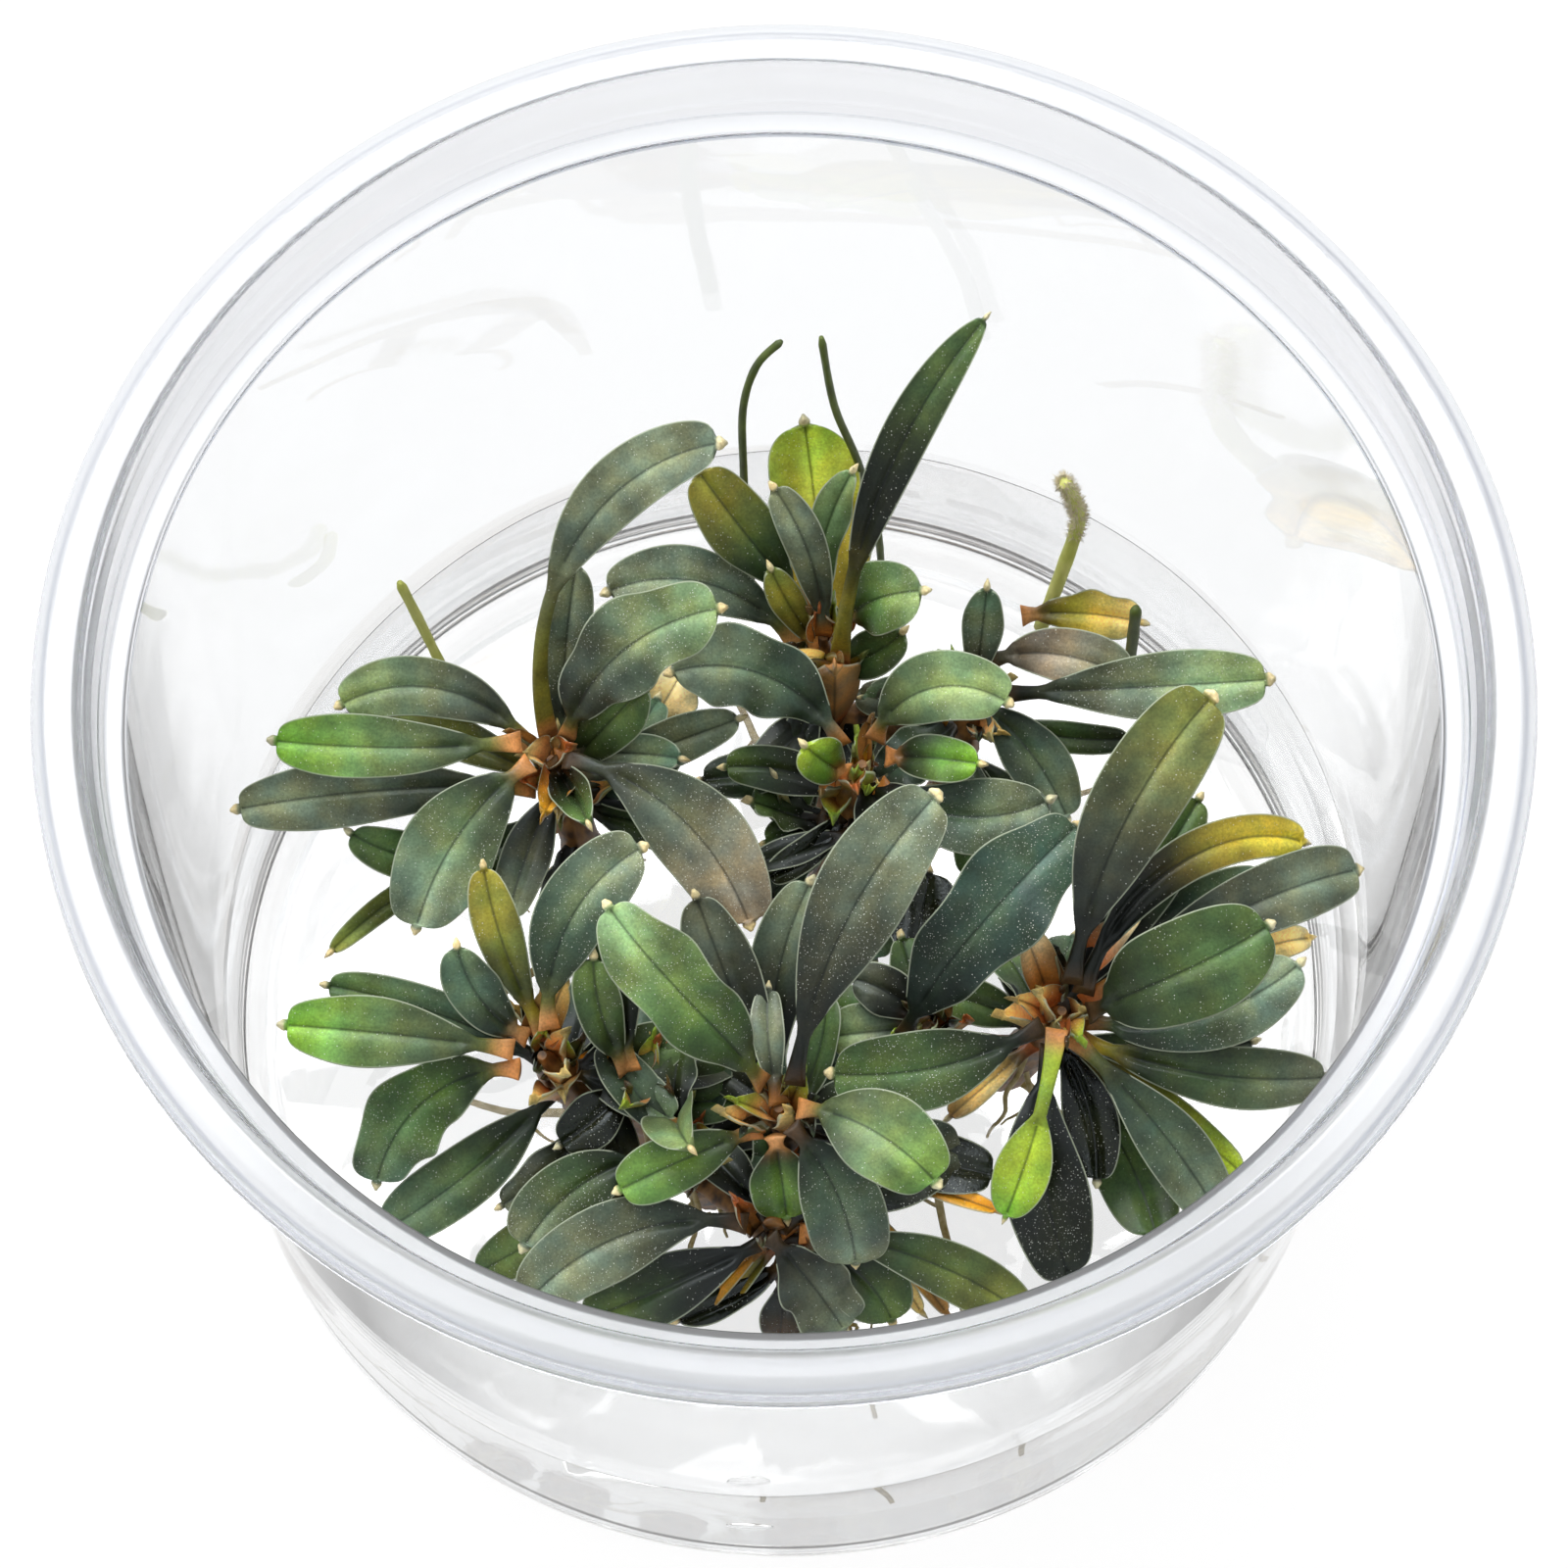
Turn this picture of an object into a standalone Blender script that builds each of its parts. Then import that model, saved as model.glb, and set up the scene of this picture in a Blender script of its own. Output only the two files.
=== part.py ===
"""Bucephalandra, a dwarf aquarium plant, growing on clear nutrient gel in its open plastic cup.

Real size, metres, +Z up. The origin is the middle of the cup's underside, -Y is the cup's front.
Sizes below are in millimetres and degrees, and MM turns them into metres.
"""

import math
from collections import namedtuple

import bmesh
import bpy
from mathutils import Matrix, Vector

MM = 0.001
GAP = 0.3
MERGE_DISTANCE = 1e-4
ROUND_STEPS = 32
ROUND_MIDDLE = 1.0 - math.sqrt(0.5)

# Cup, in millimetres
RIM_RADIUS = 52.5
RIM_HEIGHT = 68.0
RIM_LIP = 3.6
SKIRT_DEPTH = 2.8
WALL = 0.8
LEDGE_DEPTH = 5.3
LEDGE_RADIUS = 47.6
LEDGE_CHAMFER = 0.3
NECK_RADIUS = 46.1
BASE_RADIUS = 41.3
FLOOR_THICKNESS = 1.0
FOOT_ROUND = 3.0
FOOT_GROOVE_RADIUS = 38.0
FOOT_GROOVE_HALF = 0.6
FOOT_GROOVE_DEPTH = 0.4

# Gel: its surface set a little out of level, higher on the right
GEL_HEIGHT = 18.3
GEL_SLOPE_X = 0.085
GEL_SLOPE_Y = -0.025
GEL_LOW_SIDE = 4.0
HOLLOW_HEIGHT = 14.0

# Leaf: a narrow petiole, then a blade that is widest past its middle
LEAF_STEPS = 7
SMALL_LEAF_STEPS = 5
STEPS_BETWEEN = 4
PETIOLE_SHARE = 0.2
BLADE_SKEW = 1.3
BLADE_FULLNESS = 0.6
BLADE_END = 0.985
PETIOLE_HALF = 0.5
LEAF_THICKNESS = 0.5
EDGE_THICKNESS = 0.3
CHANNEL = 0.16

# Stem
STEM_FOOT_RADIUS = 1.5
STEM_TOP_RADIUS = 1.1
STEM_PROFILE = [
    (0.0, 0.9),
    (0.08, STEM_FOOT_RADIUS),
    (0.5, STEM_FOOT_RADIUS),
    (0.94, STEM_TOP_RADIUS),
    (1.0, 0.5),
]
STEM_SIDES = 6
LEAF_REACH = 1.9
SMALL_LEAF_REACH = 0.4
LINK_LEVEL = 23.0
LINK_SPACING = 2.5
LINK_RISE = 1.0

# Roots
ROOT_SIDES = 4
ROOT_RADIUS = 0.5
ROOT_TIP_RADIUS = 0.25
ROOT_STEPS = 3
ROOT_LIFT = 1.0
ROOT_SAG = 0.7
STALK_SIDES = 5

Material = namedtuple("Material", "colour roughness metallic alpha")
MATERIALS = {
    "clear_plastic": Material((0.86, 0.89, 0.92), 0.08, 0.0, 0.3),
    "clear_gel": Material((0.92, 0.93, 0.92), 0.05, 0.0, 0.3),
    "stem": Material((0.36, 0.17, 0.06), 0.6, 0.0, 1.0),
    "root": Material((0.45, 0.36, 0.18), 0.8, 0.0, 1.0),
    "dark": Material((0.02, 0.045, 0.035), 0.35, 0.0, 1.0),
    "blue": Material((0.05, 0.10, 0.10), 0.35, 0.0, 1.0),
    "green": Material((0.04, 0.12, 0.05), 0.35, 0.0, 1.0),
    "bright": Material((0.10, 0.25, 0.04), 0.35, 0.0, 1.0),
    "olive": Material((0.10, 0.13, 0.03), 0.4, 0.0, 1.0),
    "bronze": Material((0.09, 0.10, 0.06), 0.4, 0.0, 1.0),
    "grey": Material((0.08, 0.09, 0.09), 0.4, 0.0, 1.0),
    "yellow": Material((0.42, 0.33, 0.03), 0.45, 0.0, 1.0),
}

# A leaf: where it leaves the stem (around, in degrees from +X, and level, its height), which way it
# points (heading, rise), its size, how far it bends down (droop) and sideways (sweep), and its roll.
Leaf = namedtuple("Leaf", "tone around level heading rise length width droop sweep roll")

# A root: from a shoot's foot through the gel
Root = namedtuple("Root", "heading dip length")

# A loose stalk or root above the gel: the points of its axis and its radius
Stalk = namedtuple("Stalk", "tone radius points")

# A shoot: its stem's foot and top, its large leaves, and the small ones grown together with the stem
Shoot = namedtuple("Shoot", "stem foot top leaves small_leaves")

SHOOTS = {
    "back_left": Shoot(
        "stem_back_left",
        (-13, 5, 12),
        (-17.5, 9, 37),
        [
            Leaf("blue", 100, 35, 108, 66, 32.5, 6.0, 34, -118, -21),
            Leaf("green", 40, 36, 45, 80, 19.5, 6.6, 62, -44, -27),
            Leaf("dark", 140, 34, 133, 34, 16, 4.6, 45, 75, 25),
            Leaf("bright", 175, 37, 192, 14, 18, 4.8, 10, -17, 25),
            Leaf("grey", 195, 32, 186, 19, 22, 5.0, 32, 0, 25),
            Leaf("blue", 235, 37, 217, 0, 15, 7.0, 45, 32, 15),
            Leaf("bronze", 320, 37, 344, 10, 19, 6.8, 50, -50, -15),
            Leaf("blue", 75, 32, 96, 39, 16.5, 4.0, -30, -27, -4),
        ],
        [
            Leaf("olive", 170, 31, 162, 40, 15.5, 3.5, 84, -13, 22),
            Leaf("olive", 20, 33, 23, 56, 13, 4.5, -7, -11, -34),
            Leaf("grey", 0, 35, 7, 10, 10, 3.0, -20, -34, -25),
            Leaf("dark", 340, 32, 19, 10, 14.5, 3.6, -30, -17, -25),
            Leaf("dark", 270, 35, 299, 29, 9, 3.0, -10, -13, -15),
            Leaf("dark", 265, 32, 240, -14, 10.5, 3.8, -7, 19, 8),
            Leaf("dark", 225, 30, 232, -5, 17.5, 4.0, -30, -80, 24),
            Leaf("dark", 215, 27, 191, -13, 21, 2.0, -30, 43, 20),
        ],
    ),
    "back": Shoot(
        "stem_back",
        (2, 14, 12),
        (3, 19, 37),
        [
            Leaf("blue", 165, 33, 136, 38, 16.5, 5.0, 30, 75, 25),
            Leaf("dark", 310, 34, 74, 82, 34, 3.8, 52, -32, -16),
            Leaf("olive", 125, 36, 140, 34, 14, 5.2, -15, 0, 20),
            Leaf("olive", 0, 37, 354, 80, 9, 5.6, 55, -5, -36),
            Leaf("yellow", 60, 26, 93, 23, 20.5, 7.6, -30, 9, 3),
        ],
        [
            Leaf("blue", 80, 35, 100, 74, 13.5, 3.2, 38, 35, 17),
            Leaf("dark", 110, 33, 104, 31, 14.5, 3.0, -26, -62, -10),
            Leaf("bright", 200, 34, 142, 47, 8.5, 2.6, -22, -6, 23),
            Leaf("dark", 290, 32, 346, 32, 8.5, 3.6, -30, 30, -33),
        ],
    ),
    "middle": Shoot(
        "stem_back",
        (3, 6, 12),
        (6, 8.5, 37),
        [
            Leaf("green", 60, 36, 40, 80, 13.5, 5.4, 90, -72, -27),
            Leaf("bright", 0, 36, 335, 49, 8, 3.6, 37, 10, -27),
            Leaf("bright", 220, 36, 199, 61, 6, 3.8, 0, -31, 44),
            Leaf("green", 150, 36, 124, 33, 15, 6.2, 26, 80, 25),
            Leaf("green", 320, 34, 319, 10, 14.5, 5.6, -30, 51, -27),
        ],
        [
            Leaf("dark", 290, 33, 300, 30, 8, 5.0, 10, 0, -10),
            Leaf("dark", 180, 30, 157, 28, 9.5, 3.6, 44, 22, 23),
            Leaf("dark", 240, 29, 236, 2, 8, 2.6, 19, -32, 20),
        ],
    ),
    "back_right": Shoot(
        "stem_back",
        (11, 11, 13),
        (14.5, 15.5, 35),
        [
            Leaf("dark", 60, 34, 354, 56, 11.5, 4.4, 92, -12, -25),
            Leaf("blue", 330, 34, 344, 37, 21.5, 5.2, 25, 15, -26),
        ],
        [
            Leaf("dark", 90, 33, 81, 47, 8.5, 3.1, -20, 0, -5),
            Leaf("blue", 300, 32, 323, 4, 11, 4.6, 42, -27, -14),
            Leaf("dark", 340, 30, 342, -5, 12, 2.5, -30, 10, -24),
        ],
    ),
    "left": Shoot(
        "stem_left",
        (-12, -12, 11),
        (-18, -15, 37),
        [
            Leaf("dark", 60, 37, 93, 52, 16, 5.8, 35, -70, -14),
            Leaf("olive", 90, 35, 130, 54, 13.5, 3.6, 24, -30, 10),
            Leaf("dark", 130, 35, 170, 43, 9.5, 4.0, -6, -65, 16),
            Leaf("green", 175, 36, 179, 21, 16.5, 5.2, 29, -6, 24),
            Leaf("green", 215, 35, 173, -10, 15, 6.0, 36, 80, 20),
        ],
        [
            Leaf("dark", 150, 32, 156, 19, 17, 3.6, 11, 17, 23),
            Leaf("dark", 260, 29, 232, 0, 17, 5.0, 26, -29, 19),
        ],
    ),
    "inner_left": Shoot(
        "stem_left",
        (-9, -13, 11),
        (-11.5, -15.5, 34),
        [],
        [
            Leaf("green", 110, 33, 139, 63, 10, 3.6, 19, -51, 9),
            Leaf("dark", 60, 33, 104, 50, 11.5, 3.6, 11, -13, 3),
            Leaf("dark", 230, 29, 232, -6, 12.5, 3.5, 9, -24, 18),
            Leaf("dark", 250, 31, 231, 4, 6.5, 4.0, 26, -22, 18),
        ],
    ),
    "front_left": Shoot(
        "stem_front",
        (-5, -17, 11),
        (-7.5, -20.5, 31),
        [
            Leaf("green", 100, 30.5, 262, 80, 9.5, 4.5, 45, 35, -22),
            Leaf("green", 190, 30, 191, 6, 12, 5.6, 41, 43, 19),
        ],
        [
            Leaf("green", 220, 26, 212, 12, 18, 4.2, 60, -20, 23),
        ],
    ),
    "front": Shoot(
        "stem_front",
        (1, -16, 11),
        (-0.5, -19.5, 38),
        [
            Leaf("bright", 130, 38, 169, 77, 20.5, 6.2, 62, -42, 22),
            Leaf("dark", 50, 38, 75, 59, 25, 6.8, 36, -34, -14),
            Leaf("green", 340, 38, 336, 47, 12.5, 6.5, 72, -20, -20),
            Leaf("green", 260, 35, 282, -44, 7, 5.0, 20, 0, -5),
            Leaf("blue", 300, 37, 314, -12, 13, 6.2, 70, -28, -13),
            Leaf("green", 215, 34, 206, 10, 11, 4.5, 38, -8, 23),
        ],
        [
            Leaf("dark", 110, 34, 114, 24, 16.5, 5.0, -10, 0, 9),
            Leaf("dark", 80, 33, 105, 17, 17.5, 4.5, -30, -51, -6),
            Leaf("dark", 90, 36, 106, 40, 8.5, 2.5, 56, -21, 0),
        ],
    ),
    "low_front": Shoot(
        "stem_front",
        (2, -21, 12),
        (-1, -26.5, 30),
        [
            Leaf("grey", 160, 29.5, 175, 13, 17.5, 6.0, 42, 48, 22),
            Leaf("green", 0, 28, 350, 14, 18.5, 4.5, 62, -12, -23),
        ],
        [
            Leaf("grey", 235, 29.5, 322, -30, 9.5, 5.4, 20, -9, -21),
            Leaf("dark", 300, 27, 352, 5, 11, 5.6, 60, -50, -15),
            Leaf("dark", 50, 28, 24, 40, 15.5, 6.0, 76, 0, -26),
            Leaf("dark", 215, 27, 210, 5, 15, 5.0, 33, -18, 22),
        ],
    ),
    "right": Shoot(
        "stem_right",
        (16, -8, 12),
        (20.5, -12, 38),
        [
            Leaf("green", 220, 36, 211, 0, 16, 6.0, -13, -31, 24),
            Leaf("bronze", 80, 38, 74, 66, 25, 6.8, 48, -30, -12),
            Leaf("green", 340, 38, 350, 65, 16.5, 7.8, 59, 42, -25),
            Leaf("dark", 320, 33, 330, 13, 19, 4.6, 29, 42, -23),
            Leaf("bright", 250, 37, 263, -4, 14.5, 4.2, 53, -23, 8),
            Leaf("dark", 270, 32, 255, 5, 17.5, 6.2, 58, 44, -4),
            Leaf("green", 295, 35, 315, 2, 18, 5.0, 61, 0, -17),
            Leaf("yellow", 45, 37, 62, 62, 23.5, 3.6, 112, -56, -21),
            Leaf("grey", 20, 36, 23, 47, 24, 5.2, 86, 6, -22),
            Leaf("blue", 350, 34.5, 346, 5, 17, 5.5, -30, 46, -23),
        ],
        [
            Leaf("dark", 330, 28, 344, -3, 15.5, 4.0, -26, 24, -24),
            Leaf("dark", 290, 31, 306, -8, 11.5, 4.0, 15, -38, -6),
            Leaf("bright", 310, 30, 334, -20, 17.5, 3.0, -30, -21, -19),
            Leaf("dark", 300, 28, 319, -24, 17, 6.0, -30, -39, -11),
            Leaf("dark", 40, 32, 36, 40, 19.5, 4.2, 66, -6, -20),
            Leaf("dark", 65, 34, 50, 28, 18.5, 4.5, 8, 7, -14),
            Leaf("dark", 10, 32, 5, 50, 23, 3.0, 105, 31, -23),
        ],
    ),
    "inner_right": Shoot(
        "stem_right",
        (9, -8, 12),
        (10.5, -11.5, 34),
        [
            Leaf("blue", 215, 33.5, 37, 80, 22.5, 7.2, 96, 12, -17),
        ],
        [
            Leaf("dark", 150, 32, 135, 33, 6, 3.8, 45, 29, 21),
            Leaf("grey", 190, 31, 189, 19, 6.5, 4.6, 36, -6, 23),
        ],
    ),
}


ROOTS = {
    "back_left": [Root(150, 12, 16), Root(215, 18, 18)],
    "back": [Root(60, 15, 14), Root(120, 10, 15)],
    "middle": [Root(250, 20, 12)],
    "back_right": [Root(20, 14, 16)],
    "left": [Root(165, 16, 17), Root(240, 12, 15)],
    "inner_left": [],
    "front_left": [Root(215, 14, 14)],
    "front": [],
    "low_front": [Root(255, 14, 13), Root(290, 16, 15)],
    "right": [Root(330, 16, 15), Root(10, 12, 17)],
    "inner_right": [Root(285, 18, 20)],
}

STALKS = {
    "sprout_left": Stalk(
        "stem",
        0.3,
        [(-2.5, 30, 19.5), (-2.8, 29.5, 30), (-3, 30, 40), (-3, 31, 48), (-2, 32, 53), (-0.2, 32.5, 56)],
    ),
    "sprout_right": Stalk(
        "stem",
        0.3,
        [(7.5, 30, 19.5), (7, 31, 28), (5.5, 32, 37), (3.7, 32.2, 46), (2.7, 32.8, 56)],
    ),
    "aerial_root": Stalk(
        "root",
        0.8,
        [(19.5, 26, 20.5), (21, 27.8, 27), (22, 29, 33), (21.5, 29.2, 36.5), (20.7, 29.5, 39)],
    ),
    "cut_stalk": Stalk("root", 0.45, [(26, 21.7, 21), (26.2, 22.3, 26), (26.3, 22.8, 31)]),
    "root_tip": Stalk("bright", 0.4, [(-26.2, 24.8, 16.3), (-27.6, 26.3, 20.5), (-29, 27.2, 26)]),
}

OLD_LEAF_START = (18, 23.6, 21.2)
OLD_LEAF = Leaf("yellow", 0, 0, 352, 8, 7, 3.0, 16, -12, 0)


def clear_scene():
    for item in list(bpy.data.objects):
        bpy.data.objects.remove(item)


def make_material(name):
    values = MATERIALS[name]
    material = bpy.data.materials.new(name)
    material.use_nodes = True
    shader = material.node_tree.nodes["Principled BSDF"]
    shader.inputs["Base Color"].default_value = (*values.colour, 1.0)
    shader.inputs["Roughness"].default_value = values.roughness
    shader.inputs["Metallic"].default_value = values.metallic
    shader.inputs["Alpha"].default_value = values.alpha
    return material


def add_object(name, bm, material, collection=None, smooth_angle=35):
    """Writes the bmesh, which is in millimetres, to a new object in metres."""
    bmesh.ops.recalc_face_normals(bm, faces=bm.faces)
    bmesh.ops.scale(bm, vec=Vector((MM, MM, MM)), verts=bm.verts)
    mesh = bpy.data.meshes.new(name)
    bm.to_mesh(mesh)
    bm.free()
    mesh.shade_smooth()
    mesh.set_sharp_from_angle(angle=math.radians(smooth_angle))
    mesh.materials.append(material)
    item = bpy.data.objects.new(name, mesh)
    (collection or bpy.context.scene.collection).objects.link(item)
    return item


def turned(profile):
    """A profile of (radius, height) pairs turned about the Z axis."""
    bm = bmesh.new()
    rim = [bm.verts.new((radius, 0.0, height)) for radius, height in profile]
    edges = [bm.edges.new(pair) for pair in zip(rim, rim[1:])]
    bmesh.ops.spin(
        bm, geom=rim + edges, axis=(0, 0, 1), cent=(0, 0, 0), steps=ROUND_STEPS, angle=math.tau
    )
    bmesh.ops.remove_doubles(bm, verts=bm.verts, dist=MERGE_DISTANCE)
    return bm


def loft(sections):
    """A closed solid through rings of points that have the same number of points each."""
    bm = bmesh.new()
    corner = bm.verts.layers.int.new("corner")
    ring = bmesh.ops.create_circle(bm, cap_ends=True, segments=len(sections[0]), radius=1.0)
    for number, vert in enumerate(ring["verts"]):
        vert[corner] = number
        vert.co = sections[0][number]
    first = bm.faces[:][0]
    face = first
    for section in sections[1:]:
        extruded = bmesh.ops.extrude_face_region(bm, geom=[face])["geom"]
        if face is not first:
            bmesh.ops.delete(bm, geom=[face], context="FACES_ONLY")
        face = next(part for part in extruded if isinstance(part, bmesh.types.BMFace))
        for vert in face.verts:
            vert.co = section[vert[corner]]
    return bm


def centre_line(start, leaf, steps):
    """Points along a leaf, with the tangent, the sideways direction and the face's normal."""
    stations = []
    point = Vector(start)
    count = steps * STEPS_BETWEEN
    for number in range(count + 1):
        share = number / count
        pitch = math.radians(leaf.rise - leaf.droop * share)
        turn = math.radians(leaf.heading + leaf.sweep * share)
        ahead = Vector(
            (math.cos(pitch) * math.cos(turn), math.cos(pitch) * math.sin(turn), math.sin(pitch))
        )
        side = Vector((math.sin(turn), -math.cos(turn), 0.0))
        side.rotate(Matrix.Rotation(math.radians(-leaf.roll), 3, ahead))
        if number % STEPS_BETWEEN == 0:
            stations.append((share, point.copy(), side, side.cross(ahead)))
        point += ahead * (leaf.length / count)
    return stations


def half_width(share, width):
    """Half the leaf's width at a share of its length: a narrow petiole, then an oval blade."""
    blade = (share - PETIOLE_SHARE) / (1.0 - PETIOLE_SHARE)
    if blade <= 0.0:
        return PETIOLE_HALF
    bulge = math.sin(math.pi * min(blade, BLADE_END) ** BLADE_SKEW) ** BLADE_FULLNESS
    return PETIOLE_HALF + (width / 2 - PETIOLE_HALF) * bulge


def leaf_mesh(start, leaf):
    """A large leaf: a thin channelled plate with a real edge, from petiole to tip."""
    sections = []
    for share, point, side, normal in centre_line(start, leaf, LEAF_STEPS):
        half = half_width(share, leaf.width)
        lift = CHANNEL * 2 * (half - PETIOLE_HALF)
        top, edge = LEAF_THICKNESS / 2, EDGE_THICKNESS / 2
        corners = [(-half, lift + edge), (0, top), (half, lift + edge)]
        corners += [(half, lift - edge), (0, -top), (-half, lift - edge)]
        sections.append([point + side * across + normal * up for across, up in corners])
    return loft(sections)


def small_leaf_mesh(start, leaf):
    """A small leaf: four points to a section, sharp at its edges."""
    sections = []
    for share, point, side, normal in centre_line(start, leaf, SMALL_LEAF_STEPS):
        half = half_width(share, leaf.width)
        lift = CHANNEL * 2 * (half - PETIOLE_HALF)
        top = LEAF_THICKNESS / 2
        corners = [(-half, lift), (0, top), (half, lift), (0, -top)]
        sections.append([point + side * across + normal * up for across, up in corners])
    return loft(sections)


def tube_mesh(points, radii, sides):
    """A round solid along a list of points."""
    sections = []
    for number, point in enumerate(points):
        ahead = points[min(number + 1, len(points) - 1)] - points[max(number - 1, 0)]
        turn = ahead.to_track_quat("Z", "Y")
        ring = []
        for corner in range(sides):
            angle = math.tau * corner / sides
            around = Vector((math.cos(angle), math.sin(angle), 0.0)) * radii[number]
            ring.append(point + turn @ around)
        sections.append(ring)
    return loft(sections)


def root_mesh(shoot, root, extra):
    """A root that leaves the stem's foot and sinks on its way out, made fatter by extra."""
    foot = Vector(shoot.foot) + Vector((0.0, 0.0, ROOT_LIFT))
    angle = math.radians(root.heading)
    out = Vector((math.cos(angle), math.sin(angle), 0.0))
    points, radii = [], []
    for number in range(ROOT_STEPS + 1):
        share = number / ROOT_STEPS
        drop = math.sin(math.radians(root.dip)) * root.length * share**ROOT_SAG
        points.append(foot + out * root.length * share - Vector((0.0, 0.0, drop)))
        radii.append(ROOT_RADIUS + (ROOT_TIP_RADIUS - ROOT_RADIUS) * share + extra)
    points[-1] += out * extra
    return tube_mesh(points, radii, ROOT_SIDES)


def stem_point(shoot, level):
    """The point of a shoot's axis at a height."""
    foot, top = Vector(shoot.foot), Vector(shoot.top)
    return foot.lerp(top, (level - foot.z) / (top.z - foot.z))


def leaf_start(shoot, leaf, reach):
    angle = math.radians(leaf.around)
    out = Vector((math.cos(angle), math.sin(angle), 0.0))
    return stem_point(shoot, leaf.level) + out * reach


def add_cup(material):
    inner_foot = BASE_RADIUS - 2 * WALL
    skirt = RIM_RADIUS - WALL
    lip_inside = RIM_RADIUS - RIM_LIP
    foot_cut = FOOT_ROUND * ROUND_MIDDLE
    ledge_level = RIM_HEIGHT - LEDGE_DEPTH
    profile = [
        (0.0, 0.0),
        (FOOT_GROOVE_RADIUS - FOOT_GROOVE_HALF, 0.0),
        (FOOT_GROOVE_RADIUS, FOOT_GROOVE_DEPTH),
        (FOOT_GROOVE_RADIUS + FOOT_GROOVE_HALF, 0.0),
        (BASE_RADIUS + WALL - FOOT_ROUND, 0.0),
        (BASE_RADIUS + WALL - foot_cut, foot_cut),
        (BASE_RADIUS + WALL, FOOT_ROUND),
        (NECK_RADIUS + WALL, ledge_level - WALL),
        (LEDGE_RADIUS + WALL, ledge_level - WALL + LEDGE_CHAMFER),
        (lip_inside + WALL, RIM_HEIGHT - WALL),
        (skirt, RIM_HEIGHT - WALL),
        (skirt, RIM_HEIGHT - SKIRT_DEPTH),
        (RIM_RADIUS, RIM_HEIGHT - SKIRT_DEPTH),
        (RIM_RADIUS, RIM_HEIGHT - WALL),
        (RIM_RADIUS - WALL, RIM_HEIGHT),
        (lip_inside + WALL, RIM_HEIGHT),
        (lip_inside, RIM_HEIGHT - WALL),
        (LEDGE_RADIUS, ledge_level + LEDGE_CHAMFER),
        (NECK_RADIUS, ledge_level),
        (BASE_RADIUS, FOOT_ROUND),
        (inner_foot, FLOOR_THICKNESS),
        (0.0, FLOOR_THICKNESS),
    ]
    return add_object("cup", turned(profile), material)


def gel_level(x, y):
    return GEL_HEIGHT + GEL_SLOPE_X * x + GEL_SLOPE_Y * y


def add_gel(material, stems):
    """The gel fills the cup's lower part, and each stem stands in a hollow of it."""
    taper = (NECK_RADIUS - BASE_RADIUS) / (RIM_HEIGHT - LEDGE_DEPTH - FOOT_ROUND)
    top_radius = BASE_RADIUS + taper * (GEL_HEIGHT - FOOT_ROUND - GEL_LOW_SIDE) - GAP
    profile = [
        (0.0, FLOOR_THICKNESS + GAP),
        (BASE_RADIUS - 2 * WALL - GAP, FLOOR_THICKNESS + GAP),
        (BASE_RADIUS - GAP, FOOT_ROUND + GAP),
        (top_radius, GEL_HEIGHT),
        (0.0, GEL_HEIGHT),
    ]
    bm = turned(profile)
    for vert in bm.verts:
        if vert.co.z > GEL_HEIGHT - GAP:
            vert.co.z = gel_level(vert.co.x, vert.co.y)
    gel = add_object("gel", bm, material)
    hollows = bpy.data.collections.new("gel_hollows")
    bpy.context.scene.collection.children.link(hollows)
    for shoot_name, shoot in stems.items():
        foot_level = shoot.foot[2]
        levels = [foot_level - GAP, foot_level + HOLLOW_HEIGHT]
        points = [stem_point(shoot, level) for level in levels]
        radii = [STEM_FOOT_RADIUS + GAP, STEM_FOOT_RADIUS + GAP]
        hollow = tube_mesh(points, radii, STEM_SIDES)
        helper(add_object("hollow_" + shoot_name, hollow, material, hollows))
        for number, root in enumerate(ROOTS[shoot_name], 1):
            hollow = root_mesh(shoot, root, GAP)
            helper(add_object(f"root_hollow_{shoot_name}_{number}", hollow, material, hollows))
    cut = gel.modifiers.new("stem_hollows", "BOOLEAN")
    cut.operation = "DIFFERENCE"
    cut.operand_type = "COLLECTION"
    cut.collection = hollows
    cut.solver = "EXACT"
    return gel


def helper(item):
    item.hide_render = True
    item.display_type = "WIRE"
    return item


def stem_mesh(shoot):
    foot, top = Vector(shoot.foot), Vector(shoot.top)
    points = [foot.lerp(top, share) for share, radius in STEM_PROFILE]
    radii = [radius for share, radius in STEM_PROFILE]
    return tube_mesh(points, radii, STEM_SIDES)


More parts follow.
